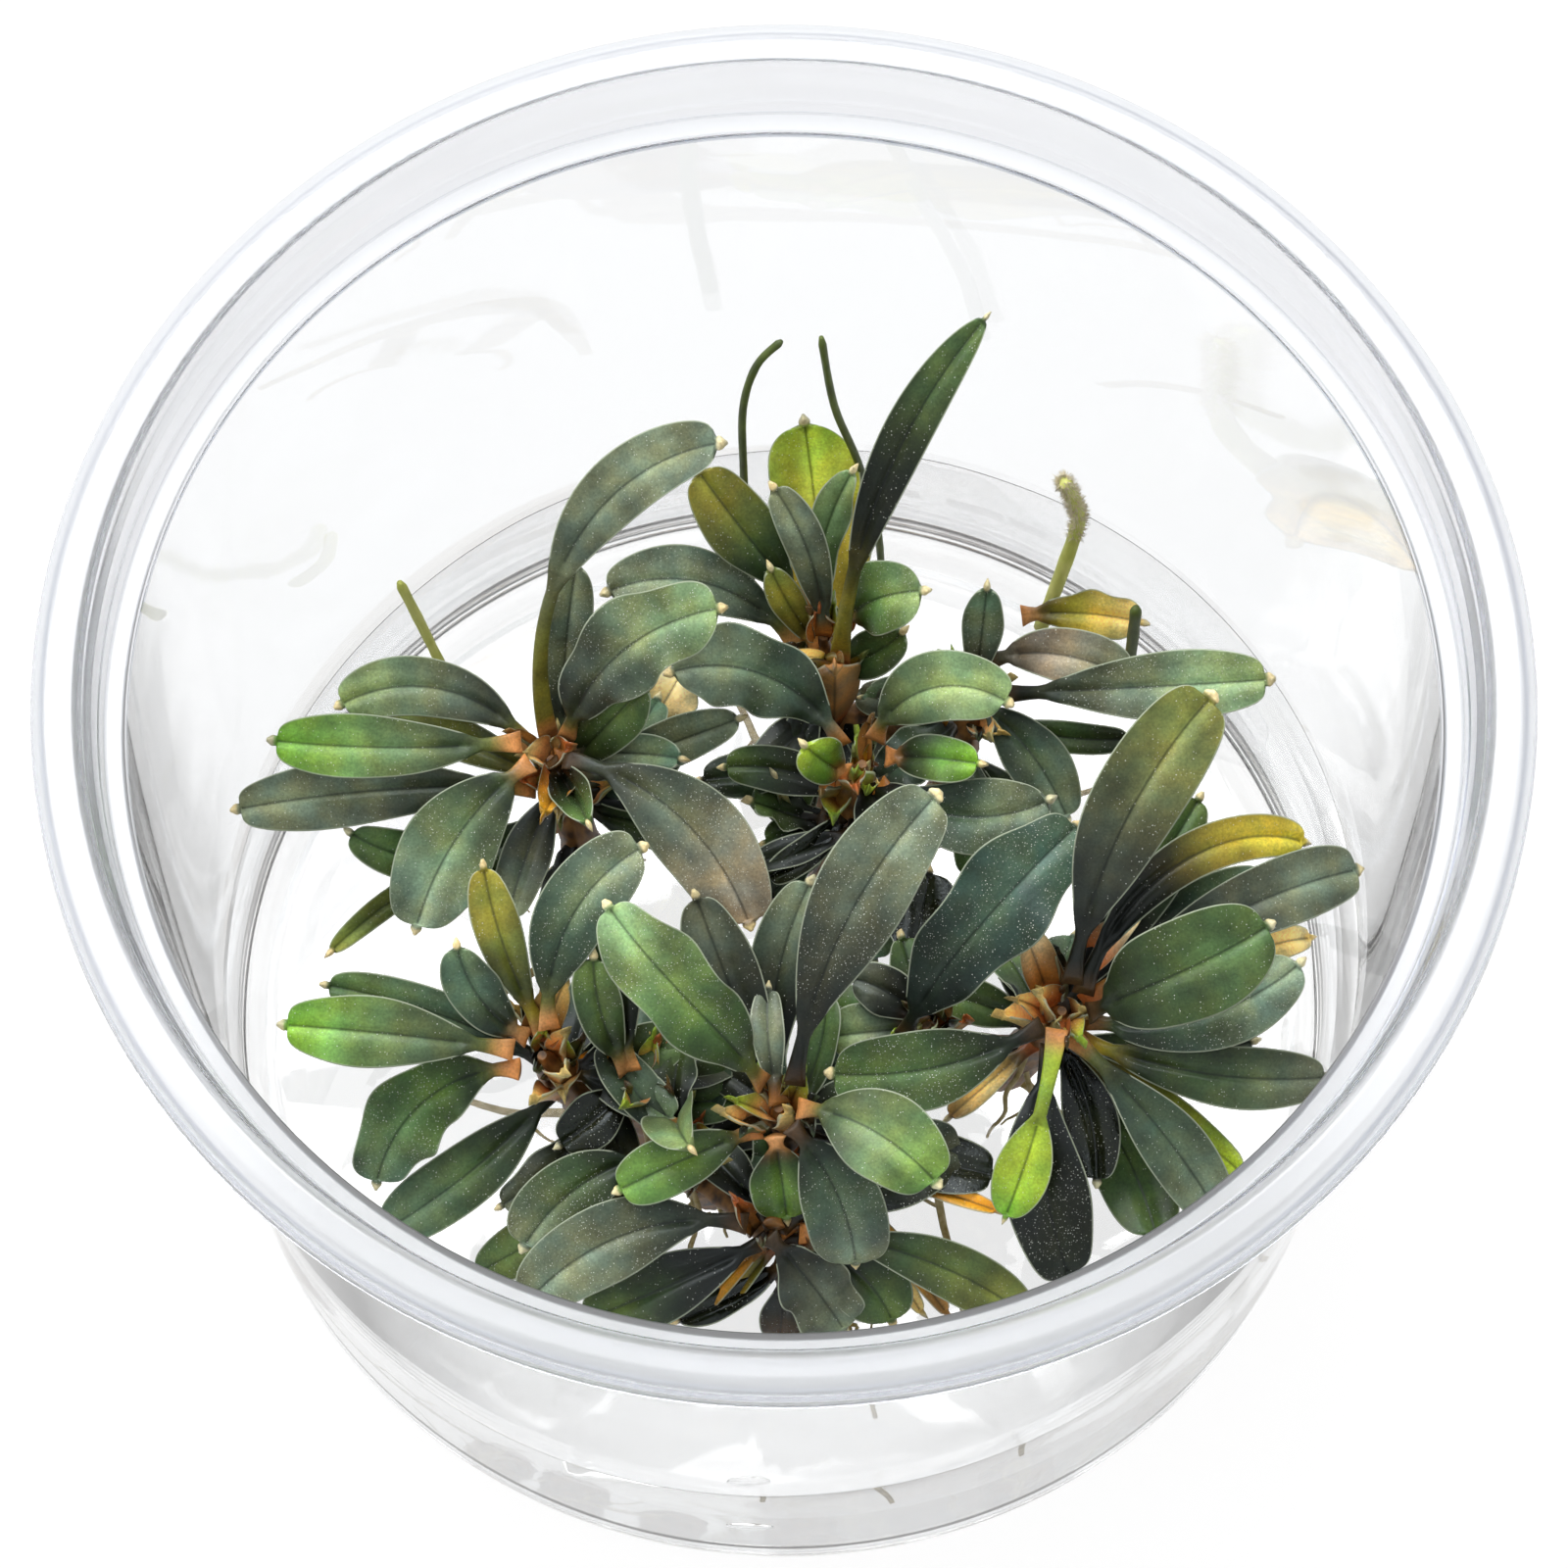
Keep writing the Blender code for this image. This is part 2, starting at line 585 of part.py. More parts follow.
def add_stem(name, shoots, material):
    """One stem with its forks and the small leaves grown together with them."""
    forks = list(shoots.items())
    stem = add_object(name, stem_mesh(forks[0][1]), material)
    pieces = bpy.data.collections.new(name + "_pieces")
    bpy.context.scene.collection.children.link(pieces)
    for number, (shoot_name, shoot) in enumerate(forks[1:]):
        helper(add_object("fork_" + shoot_name, stem_mesh(shoot), material, pieces))
        level = LINK_LEVEL + LINK_SPACING * number
        bridge = [stem_point(forks[0][1], level), stem_point(shoot, level + LINK_RISE)]
        link = tube_mesh(bridge, [STEM_TOP_RADIUS, STEM_TOP_RADIUS], STEM_SIDES)
        helper(add_object("link_" + shoot_name, link, material, pieces))
    for shoot_name, shoot in forks:
        for number, root in enumerate(ROOTS[shoot_name], 1):
            root_piece = root_mesh(shoot, root, 0.0)
            helper(add_object(f"root_{shoot_name}_{number}", root_piece, material, pieces))
        for number, leaf in enumerate(shoot.small_leaves, 1):
            start = leaf_start(shoot, leaf, SMALL_LEAF_REACH)
            small = small_leaf_mesh(start, leaf)
            helper(add_object(f"small_leaf_{shoot_name}_{number}", small, material, pieces))
    join = stem.modifiers.new("grown_together", "BOOLEAN")
    join.operation = "UNION"
    join.operand_type = "COLLECTION"
    join.collection = pieces
    join.solver = "EXACT"
    return stem


def main():
    clear_scene()
    materials = {name: make_material(name) for name in MATERIALS}
    add_cup(materials["clear_plastic"])
    add_gel(materials["clear_gel"], SHOOTS)
    stems = {}
    for shoot_name, shoot in SHOOTS.items():
        stems.setdefault(shoot.stem, {})[shoot_name] = shoot
    for name, shoots in stems.items():
        add_stem(name, shoots, materials["stem"])
    for shoot_name, shoot in SHOOTS.items():
        for number, leaf in enumerate(shoot.leaves, 1):
            start = leaf_start(shoot, leaf, LEAF_REACH)
            add_object(f"leaf_{shoot_name}_{number}", leaf_mesh(start, leaf), materials[leaf.tone])
    for name, stalk in STALKS.items():
        points = [Vector(point) for point in stalk.points]
        radii = [stalk.radius] * len(points)
        add_object(name, tube_mesh(points, radii, STALK_SIDES), materials[stalk.tone])
    old_leaf = leaf_mesh(OLD_LEAF_START, OLD_LEAF)
    add_object("old_leaf", old_leaf, materials[OLD_LEAF.tone])


main()
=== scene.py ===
# %% [markdown]
# # A bucephalandra in its cup
# Bucephalandra is a dwarf water plant from the streams of Borneo. A nursery grows it from tissue
# in a clear plastic cup, on a layer of clear nutrient gel. This lesson dresses the plain solids of
# that object: each step says what the real piece is, how it could be made, and why this way was
# chosen. Meshes are worked out in millimetres, and `new_piece` turns them into metres.

# %% Load the plain solids
import math
import random
from collections import namedtuple

import bmesh
import bpy
from mathutils import Matrix, Vector, noise


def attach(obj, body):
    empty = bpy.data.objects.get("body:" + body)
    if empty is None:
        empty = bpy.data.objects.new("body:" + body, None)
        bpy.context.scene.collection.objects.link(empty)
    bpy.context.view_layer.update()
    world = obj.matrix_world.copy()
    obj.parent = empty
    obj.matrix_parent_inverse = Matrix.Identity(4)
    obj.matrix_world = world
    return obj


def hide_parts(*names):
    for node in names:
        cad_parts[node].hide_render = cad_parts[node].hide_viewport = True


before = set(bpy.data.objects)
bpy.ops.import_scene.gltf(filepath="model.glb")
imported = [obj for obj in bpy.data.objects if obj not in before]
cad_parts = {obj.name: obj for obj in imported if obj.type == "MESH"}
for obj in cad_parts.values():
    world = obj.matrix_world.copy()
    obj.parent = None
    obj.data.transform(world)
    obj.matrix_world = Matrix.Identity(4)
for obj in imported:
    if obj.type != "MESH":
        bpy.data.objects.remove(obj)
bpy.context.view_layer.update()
MM = 0.001

# %% [markdown]
# ## Camera
# The picture looks down into the cup from the front, from 60 centimetres away. The cup's round
# edges tell how steeply: a circle seen at this angle is squeezed to the sine of the camera's height
# above level. The long lens has to fit 1600 pixels of width into its 36 mm sensor.

# %% Camera
SENSOR = 36.0
PICTURE_WIDTH = 1600
FOCAL_PIXELS = 8564
CAMERA_RISE = math.radians(66.4)
CAMERA_DISTANCE = 600.0
AIM_HEIGHT = 50.3

camera_data = bpy.data.cameras.new("camera")
camera_data.sensor_width = SENSOR
camera_data.lens = FOCAL_PIXELS / PICTURE_WIDTH * SENSOR
camera_data.clip_start = 0.01
camera = bpy.data.objects.new("camera", camera_data)
bpy.context.scene.collection.objects.link(camera)
back_and_up = Vector((0.0, -math.cos(CAMERA_RISE), math.sin(CAMERA_RISE)))
camera.location = (Vector((0.0, 0.0, AIM_HEIGHT)) + back_and_up * CAMERA_DISTANCE) * MM
camera.rotation_euler = back_and_up.to_track_quat("Z", "Y").to_euler()
bpy.context.scene.camera = camera
print("lens in mm:", round(camera_data.lens, 1))

# %% [markdown]
# ## Helpers
# Shaders take linear colours, and people write sRGB hex values, so one function turns one into the
# other. One more adds a node with its settings and links. Two turn a bmesh into an object, and that
# object into a finished piece that rides on the cup.


# %% Helpers
def linear(hex_colour):
    """An sRGB hex colour as linear red, green, blue and alpha."""
    channels = [int(hex_colour[place : place + 2], 16) / 255 for place in (1, 3, 5)]
    low_or_high = [c / 12.92 if c <= 0.04045 else ((c + 0.055) / 1.055) ** 2.4 for c in channels]
    return (*low_or_high, 1.0)


def set_inputs(tree, node, inputs):
    for name, value in inputs.items():
        if isinstance(value, bpy.types.NodeSocket):
            tree.links.new(value, node.inputs[name])
        else:
            node.inputs[name].default_value = value


def add_node(tree, kind, settings=None, inputs=None):
    """A node with its settings, and with each input set to a value or linked to a socket."""
    node = tree.nodes.new("ShaderNode" + kind)
    for name, value in (settings or {}).items():
        setattr(node, name, value)
    set_inputs(tree, node, inputs or {})
    return node


def place_in_mm(tree, upright=1.0):
    """Object coordinates in millimetres, with the upright one scaled if a pattern has to stretch."""
    place = add_node(tree, "TexCoord").outputs["Object"]
    scale = (1 / MM, 1 / MM, upright / MM)
    return add_node(tree, "Mapping", inputs={"Vector": place, "Scale": scale}).outputs["Vector"]


def new_material(name):
    """A material with its node tree, its Principled shader and its output node."""
    material = bpy.data.materials.new(name)
    material.use_nodes = True
    tree = material.node_tree
    return material, tree, tree.nodes["Principled BSDF"], tree.nodes["Material Output"]


def new_object(name, bm, materials):
    mesh = bpy.data.meshes.new(name)
    bm.to_mesh(mesh)
    bm.free()
    for material in materials:
        mesh.materials.append(material)
    made = bpy.data.objects.new(name, mesh)
    bpy.context.scene.collection.objects.link(made)
    return made


def new_piece(name, bm, materials, nodes, sharp=None):
    """A finished piece from a bmesh in millimetres, which stands for the named plain solids."""
    bmesh.ops.scale(bm, vec=Vector((MM, MM, MM)), verts=bm.verts)
    piece = new_object(name, bm, materials)
    piece.data.shade_smooth()
    if sharp:
        piece.data.set_sharp_from_angle(angle=math.radians(sharp))
    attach(piece, "root")
    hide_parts(*nodes)
    return piece


# %% [markdown]
# ## Floor and light
# The picture is high key: a white table that is lit from below as well, and soft white light from
# above. A plain plane that glows is such a table. The sky is nearly even, as white walls make it, so
# the clear plastic stays light, and it is a little brighter overhead and behind. A soft lamp behind
# gives the leaves that lie level their sheen. Light has to pass many walls of plastic and gel, so it
# may bounce 24 times: with fewer, their edges turn black.

# %% Floor
FLOOR_HALF = 3.0
FLOOR_DROP = 0.0001
TABLE_GLOW = 0.94

table, table_tree, table_shader, _ = new_material("white_light_table")
table_look = {
    "Base Color": linear("#4c4c4c"),
    "Roughness": 0.9,
    "Emission Color": linear("#ffffff"),
    "Emission Strength": TABLE_GLOW,
}
set_inputs(table_tree, table_shader, table_look)
floor_bm = bmesh.new()
bmesh.ops.create_grid(floor_bm, x_segments=4, y_segments=4, size=FLOOR_HALF)
bmesh.ops.translate(floor_bm, vec=(0.0, 0.0, -FLOOR_DROP), verts=floor_bm.verts)
floor = new_object("floor", floor_bm, [table])
print("floor width in m:", 2 * FLOOR_HALF)

# %% Light
SKY_LOW = 0.72
SKY_HIGH = 0.92
SKY_TURNS = (0.35, 0.95)
OVERHEAD = (-0.1, 0.38, 0.92)
LAMPS = {
    "back_lamp": ((-0.15, 0.45, 0.8), 0.7, 7.0),
    "left_lamp": ((-0.7, 0.1, 0.6), 0.5, 2.0),
}
LAMP_AIM = Vector((0, 0, 0.03))
SEE_THROUGH_BOUNCES = 24

world = bpy.data.worlds.new("soft_white_sky")
world.use_nodes = True
bpy.context.scene.world = world
sky = world.node_tree
direction = add_node(sky, "TexCoord").outputs["Generated"]
nearness = add_node(sky, "VectorMath", {"operation": "DOT_PRODUCT"}, {0: direction, 1: OVERHEAD})
sky_limits = {"From Min": SKY_TURNS[0], "From Max": SKY_TURNS[1], "To Min": SKY_LOW, "To Max": SKY_HIGH}
strength = add_node(
    sky,
    "MapRange",
    {"interpolation_type": "SMOOTHSTEP"},
    {"Value": nearness.outputs["Value"], **sky_limits},
)
sky_look = {"Color": linear("#ffffff"), "Strength": strength.outputs["Result"]}
set_inputs(sky, sky.nodes["Background"], sky_look)

for lamp_name, (place, width, watts) in LAMPS.items():
    lamp_data = bpy.data.lights.new(lamp_name, "AREA")
    lamp_data.size = width
    lamp_data.energy = watts
    lamp = bpy.data.objects.new(lamp_name, lamp_data)
    bpy.context.scene.collection.objects.link(lamp)
    lamp.location = place
    lamp.rotation_euler = (lamp.location - LAMP_AIM).to_track_quat("Z", "Y").to_euler()

render = bpy.context.scene
render.view_settings.view_transform = "Standard"
render.view_settings.look = "None"
render.cycles.max_bounces = SEE_THROUGH_BOUNCES
render.cycles.transmission_bounces = SEE_THROUGH_BOUNCES
render.cycles.glossy_bounces = 8
render.cycles.diffuse_bounces = 2
print("sky overhead", SKY_HIGH, "and low down", SKY_LOW)

# %% [markdown]
# ## Clear plastic
# The cup is injection-moulded polypropylene. It is clear where it is thin and faintly milky where
# it is thick, as along the rim, because its crystals scatter light. Its refractive index is 1.49.
# The flat top of the rim and the ledge, where a lid rests, are matt and a shade greyer. All three
# finishes are plain transmission, with a blue-grey tint that only a long way through the plastic
# shows, which is why its edges look grey-blue and its walls don't.

# %% Clear plastic
PLASTIC_IOR = 1.49
RIPPLE_SIZE = 9.0
RIPPLE_HEIGHT = 0.03


def make_plastic(name, colour, roughness, transmission, density, ripple_strength):
    material, tree, shader, output = new_material(name)
    waves = {"Vector": place_in_mm(tree), "Scale": 1 / RIPPLE_SIZE, "Detail": 1.0}
    ripple = add_node(tree, "TexNoise", inputs=waves).outputs["Fac"]
    height = {"Height": ripple, "Strength": ripple_strength, "Distance": RIPPLE_HEIGHT * MM}
    look = {
        "Base Color": linear(colour),
        "Roughness": roughness,
        "IOR": PLASTIC_IOR,
        "Transmission Weight": transmission,
        "Normal": add_node(tree, "Bump", inputs=height).outputs["Normal"],
    }
    set_inputs(tree, shader, look)
    depth_tint = {"Color": linear("#bcc6d6"), "Density": density}
    tint = add_node(tree, "VolumeAbsorption", inputs=depth_tint)
    tree.links.new(tint.outputs["Volume"], output.inputs["Volume"])
    return material


clear_polypropylene = make_plastic("clear_polypropylene", "#f9fafb", 0.02, 1.0, 6.0, 0.3)
milky_polypropylene = make_plastic("milky_polypropylene", "#fbfcff", 0.12, 0.9, 4.5, 0.08)
flat_polypropylene = make_plastic("flat_polypropylene", "#f3f5f8", 0.3, 0.92, 4.5, 0.08)
print("plastic bends light by", PLASTIC_IOR)

# %% [markdown]
# ## Cup
# One profile turned about the upright axis makes the whole cup, as the mould's cutter did. `spin`
# does that in one call. The profile's corners are short arcs, since moulded plastic has no sharp
# edge, and small steps in it are the mould's rings. The faces above the neck get the milky finish,
# and the level ones among them the flat finish.

# %% Cup sizes
RIM_RADIUS = 52.5
RIM_HEIGHT = 68.0
RIM_LIP = 3.6
SKIRT_DEPTH = 2.8
WALL = 0.8
NECK_WALL = 0.3
LEDGE_DEPTH = 5.3
LEDGE_RADIUS = 47.6
NECK_RADIUS = 46.1
BASE_RADIUS = 41.3
FLOOR_THICKNESS = 1.0
FOOT_ROUND = 3.0
GROOVE_RADIUS = 38.0
GROOVE_DEPTH = 0.3
GROOVE_HALF = 1.6
EDGE_ROUND = 1.3
LIP_ROUND = 1.0
INNER_ROUND = 3.0
CORNER = 0.12
STEP = 0.07
SKIRT_RINGS = (2.2, 1.7)
SLANT_RINGS = (3.8, 2.9, 1.4)
LONG_RUN = 0.8
GUARD = 0.15
CUP_STEPS = 256
FLAT_ENOUGH = 0.6
MILKY_FROM = 0.5
CUP_SHARP = 30
PROFILE_MERGE = 1e-4
ledge_level = RIM_HEIGHT - LEDGE_DEPTH
lip_inside = RIM_RADIUS - RIM_LIP
print("ledge level in mm:", ledge_level)


# %% Turn a profile
def blend(first, second, share):
    return [a + (b - a) * share for a, b in zip(first, second)]


def arc(centre, radius, first, last, steps=4):
    """Points of a profile's rounded corner, from one angle to another in degrees."""
    angles = [math.radians(first + (last - first) * step / steps) for step in range(steps + 1)]
    return [(centre[0] + radius * math.cos(a), centre[1] + radius * math.sin(a)) for a in angles]


def with_guards(profile):
    """The profile with a point added close to each end of every straight run, to keep it flat."""
    guarded = [profile[0]]
    for first, second in zip(profile, profile[1:]):
        run = math.dist(first, second)
        if run > LONG_RUN:
            guarded.append(tuple(blend(first, second, GUARD / run)))
            guarded.append(tuple(blend(second, first, GUARD / run)))
        guarded.append(second)
    return guarded


def turn_profile(profile, steps):
    bm = bmesh.new()
    ring = [bm.verts.new((radius, 0.0, level)) for radius, level in with_guards(profile)]
    edges = [bm.edges.new(pair) for pair in zip(ring, ring[1:])]
    bmesh.ops.spin(bm, geom=ring + edges, axis=(0, 0, 1), steps=steps, angle=math.tau, use_merge=True)
    bmesh.ops.remove_doubles(bm, verts=bm.verts, dist=PROFILE_MERGE)
    bmesh.ops.recalc_face_normals(bm, faces=bm.faces)
    return bm


def ring_step(radius, level, rise, change):
    """Two points of the profile that step in or out, as the mould's rings leave a line."""
    return [(radius, level - rise), (radius + change, level + rise)]


def slant_ring(height):
    """A ring step on the rim's inner slant, at a height above the ledge."""
    radius = LEDGE_RADIUS + (lip_inside - LEDGE_RADIUS) * height / (LEDGE_DEPTH - LIP_ROUND)
    return ring_step(radius, ledge_level + height, -STEP, -STEP)


print("points in a corner:", len(arc((0, 0), EDGE_ROUND, 0, 90)))

# %% Cup
outside = [
    (0.0, 0.0),
    (GROOVE_RADIUS - GROOVE_HALF, 0.0),
    (GROOVE_RADIUS - GROOVE_HALF / 3, GROOVE_DEPTH),
    (GROOVE_RADIUS + GROOVE_HALF / 3, GROOVE_DEPTH),
    (GROOVE_RADIUS + GROOVE_HALF, 0.0),
    *arc((BASE_RADIUS + WALL - FOOT_ROUND, FOOT_ROUND), FOOT_ROUND, -90, 0, 6),
    (NECK_RADIUS + NECK_WALL, ledge_level - WALL - CORNER),
    (NECK_RADIUS + NECK_WALL + CORNER, ledge_level - WALL),
    (LEDGE_RADIUS + WALL - CORNER, ledge_level - WALL),
    (LEDGE_RADIUS + WALL, ledge_level - WALL + CORNER),
    (lip_inside + WALL, RIM_HEIGHT - WALL),
    *arc((RIM_RADIUS - EDGE_ROUND, RIM_HEIGHT - EDGE_ROUND), EDGE_ROUND - WALL, 90, 0),
    (RIM_RADIUS - WALL, RIM_HEIGHT - SKIRT_DEPTH + 0.1),
    (RIM_RADIUS - WALL / 2, RIM_HEIGHT - SKIRT_DEPTH),
    (RIM_RADIUS, RIM_HEIGHT - SKIRT_DEPTH + 0.1),
    *ring_step(RIM_RADIUS, RIM_HEIGHT - SKIRT_RINGS[0], STEP, -STEP),
    *ring_step(RIM_RADIUS - STEP, RIM_HEIGHT - SKIRT_RINGS[1], STEP, STEP),
]
inside = [
    *arc((RIM_RADIUS - EDGE_ROUND, RIM_HEIGHT - EDGE_ROUND), EDGE_ROUND, 0, 90, 6),
    *arc((lip_inside + LIP_ROUND, RIM_HEIGHT - LIP_ROUND), LIP_ROUND, 90, 180),
    *[point for height in SLANT_RINGS for point in slant_ring(height)],
    (LEDGE_RADIUS, ledge_level + CORNER),
    (LEDGE_RADIUS - CORNER, ledge_level),
    (NECK_RADIUS + CORNER, ledge_level),
    (NECK_RADIUS, ledge_level - CORNER),
    *arc((BASE_RADIUS - INNER_ROUND, FLOOR_THICKNESS + INNER_ROUND), INNER_ROUND, 0, -90, 6),
    (0.0, FLOOR_THICKNESS),
]
cup_bm = turn_profile(outside + inside, CUP_STEPS)
cup_bm.normal_update()
for face in cup_bm.faces:
    if face.calc_center_median().z > ledge_level - WALL - MILKY_FROM:
        face.material_index = 2 if abs(face.normal.z) > FLAT_ENOUGH else 1
cup_finishes = [clear_polypropylene, milky_polypropylene, flat_polypropylene]
cup = new_piece("cup_shell", cup_bm, cup_finishes, ["cup"], CUP_SHARP)
print("cup faces:", len(cup.data.polygons))

# %% [markdown]
# ## Gel
# The gel is agar, nearly all water, so it bends light as water does. It was poured warm, and it
# set while the cup stood a little out of level. Where it meets the wall it climbs a little way up.
# Its surface is a fan of rings from one turned profile, lifted to the slope. A few air bubbles are
# small inside-out balls in it.

# %% Gel
GEL_HEIGHT = 18.3
GEL_SLOPE_X = 0.085
GEL_SLOPE_Y = -0.025
GEL_IOR = 1.33
GEL_STEPS = 192
GEL_SHARP = 40
SIDE_TOP = GEL_HEIGHT - 5.0
SURFACE_SHARES = [1.0, 0.997, 0.99, 0.98, 0.965, 0.95, 0.92, 0.8, 0.6, 0.4, 0.2]
CONTACT = -0.08
CLIMB = 0.3
CLIMB_FROM = 0.9
SWELL = 0.12
SWELL_SIZE = 12.5

agar, agar_tree, agar_shader, agar_output = new_material("clear_agar")
agar_look = {"Base Color": linear("#ffffff"), "Roughness": 0.0, "IOR": GEL_IOR, "Transmission Weight": 1.0}
set_inputs(agar_tree, agar_shader, agar_look)
agar_tint = add_node(agar_tree, "VolumeAbsorption", inputs={"Color": linear("#e8dcc8"), "Density": 3.0})
agar_tree.links.new(agar_tint.outputs["Volume"], agar_output.inputs["Volume"])


def wall_radius(level):
    """The cup's inner radius at a height."""
    share = (level - FOOT_ROUND) / (ledge_level - FOOT_ROUND)
    return BASE_RADIUS + (NECK_RADIUS - BASE_RADIUS) * max(share, 0.0)


def gel_level(x, y):
    return GEL_HEIGHT + GEL_SLOPE_X * x + GEL_SLOPE_Y * y


corner = (BASE_RADIUS - INNER_ROUND - CONTACT, FLOOR_THICKNESS + INNER_ROUND + CONTACT)
gel_profile = [
    (0.0, FLOOR_THICKNESS + CONTACT),
    *arc(corner, INNER_ROUND, -90, 0, 6),
    (wall_radius(SIDE_TOP) - CONTACT, SIDE_TOP),
    *[(wall_radius(GEL_HEIGHT) * share, GEL_HEIGHT) for share in SURFACE_SHARES],
    (0.0, GEL_HEIGHT),
]
gel_bm = turn_profile(gel_profile, GEL_STEPS)
for vert in gel_bm.verts:
    if vert.co.z > GEL_HEIGHT - 0.01:
        ahead = Vector((vert.co.x, vert.co.y, 0.0))
        share = ahead.length / wall_radius(GEL_HEIGHT)
        ahead.normalize()
        level = gel_level(*(ahead * wall_radius(GEL_HEIGHT) * share).xy)
        reach = share * (wall_radius(level) - CONTACT)
        uneven = noise.noise(ahead * 3.0) + 0.4 * noise.noise(ahead * 9.0)
        climb = CLIMB * (1.0 + 0.5 * uneven) * (max(share - CLIMB_FROM, 0.0) / (1.0 - CLIMB_FROM)) ** 2
        swell = SWELL * noise.noise(ahead * reach / SWELL_SIZE) * (share < 1.0)
        vert.co = ahead * reach + Vector((0.0, 0.0, level + climb + swell))
print("gel rings:", len(SURFACE_SHARES))

# %% Bubbles in the gel
Bubble = namedtuple("Bubble", "place radii")
BUBBLES = [
    Bubble((-37.2, -14.5, 13.5), (0.25, 0.25, 0.25)),
    Bubble((-36.8, -16.4, 12.8), (0.35, 0.35, 0.35)),
    Bubble((-2.4, -39.4, 8.4), (1.7, 0.35, 0.9)),
    Bubble((30.0, 12.0, 9.0), (0.3, 0.3, 0.3)),
]
for bubble in BUBBLES:
    place = Matrix.Translation(bubble.place) @ Matrix.Diagonal((*bubble.radii, 1.0))
    ball = bmesh.ops.create_icosphere(gel_bm, subdivisions=3, radius=1.0, matrix=place)
    bubble_faces = {face for vert in ball["verts"] for face in vert.link_faces}
    bmesh.ops.reverse_faces(gel_bm, faces=list(bubble_faces))
gel = new_piece("gel_body", gel_bm, [agar], ["gel"], GEL_SHARP)
print("gel faces:", len(gel.data.polygons))

# %% [markdown]
# ## Colours of the plant
# New leaves are light green, and they turn dark blue-green as they age, with a grey bloom. Old ones
# go olive and yellow. Sheaths and leaf stalks are rust and orange. Each colour gets a plain name,
# and a leaf names three of them: its stalk, its blade's base and its tip.

# %% Colours of the plant
TONES = {
    "ink": "#14180f",
    "graphite": "#434940",
    "slate": "#5c685a",
    "petrol": "#485e4d",
    "teal": "#34483f",
    "pine": "#3f5430",
    "forest": "#527237",
    "fresh": "#5e8a2c",
    "lime": "#8dab3a",
    "sage": "#6a815c",
    "mist": "#74877a",
    "moss": "#5f6732",
    "olive": "#76742e",
    "mauve": "#857c72",
    "gold": "#b9ab3a",
    "butter": "#dccd58",
    "amber": "#c8932a",
    "straw": "#cbb67a",
    "rust": "#90602f",
    "ember": "#a0582c",
    "peach": "#c68c5a",
    "bark": "#7a5c34",
    "umber": "#453422",
    "cream": "#ece2bd",
}
print("tones:", len(TONES))

# %% [markdown]
# ## Leaf finish
# A bucephalandra leaf is leathery and satin, with a waxy skin. Four things give it its look: a
# granular skin about a quarter of a millimetre coarse, silver specks from cells that mirror light,
# a pale line along its margin, and faint side veins. Painted shade darkens the midrib's groove, and a
# painted highlight lightens the bands beside it. The mesh carries what follows its shape as
# attributes: the tone, which holds painted shade towards the blade's base and painted sheen towards
# its tip, the distance from the margin and from the midrib, and how speckled and how wet the leaf
# is. The skin and the specks read Object coordinates in millimetres.
#
# Most of the nodes only stretch one value into another range, so a table lists them: each row
# names the value that it reads, the two ends of its range, and what these ends become.

# %% Leaf finish values
LEAF_LAYERS = ("inset", "rib", "specks", "wet", "vein_way")
SKIN_GRAIN = 0.2
CLOUD_SIZE = 3.2
PATCH_SIZE = 2.4
NOISES = {"grain": (SKIN_GRAIN, 3.0), "cloud": (CLOUD_SIZE, 3.0), "patches": (PATCH_SIZE, 2.0)}
SPECK_SPACING = 0.18
SPECK_SIZE = 0.047
SPECK_EDGE = SPECK_SIZE / SPECK_SPACING
MARGIN_WIDTH = 0.14
# Painted light across the midrib: shade in its groove, and a highlight on the bands beside it.
GROOVE_SHADE = 0.16
RIDGE_HIGHLIGHT_NEAR = 0.35
RIDGE_HIGHLIGHT_FAR = 1.5
VEIN_SPACING = 1.1
VEIN_HEIGHT = 0.1
SKIN_RELIEF = 0.06
COOL_PATCH = (0.93, 0.98, 0.92, 1.0)
WARM_PATCH = (1.2, 1.03, 0.74, 1.0)
SPECK_COLOUR = "#f0f4ea"
MARGIN_COLOUR = "#b3bca4"
WET_ROUGHNESS = 0.08
LEAF_IOR = 1.45
RANGES = {
    "mottle": ("cloud", 0.3, 0.7, 0.56, 1.42),
    "graining": ("grain", 0.3, 0.7, 0.8, 1.2),
    # The groove row is painted shade along the midrib; the ridge row is a painted highlight beside it that
    # gives way to slight painted shade towards the margin.
    "groove": ("rib", 0.0, GROOVE_SHADE, 0.34, 1.0),
    "ridge": ("rib", RIDGE_HIGHLIGHT_NEAR, RIDGE_HIGHLIGHT_FAR, 1.5, 0.88),
    "warmth": ("patches", 0.35, 0.65, 0.0, 1.0),
    "crowd": ("patches", 0.38, 0.62, 0.3, 1.7),
    "dot": ("speck", SPECK_EDGE, 0.4 * SPECK_EDGE, 0.0, 1.0),
    "margin": ("inset", MARGIN_WIDTH, 0.4 * MARGIN_WIDTH, 0.0, 0.75),
    "satin": ("cloud", 0.3, 0.7, 0.33, 0.47),
}
print("ranges:", len(RANGES))


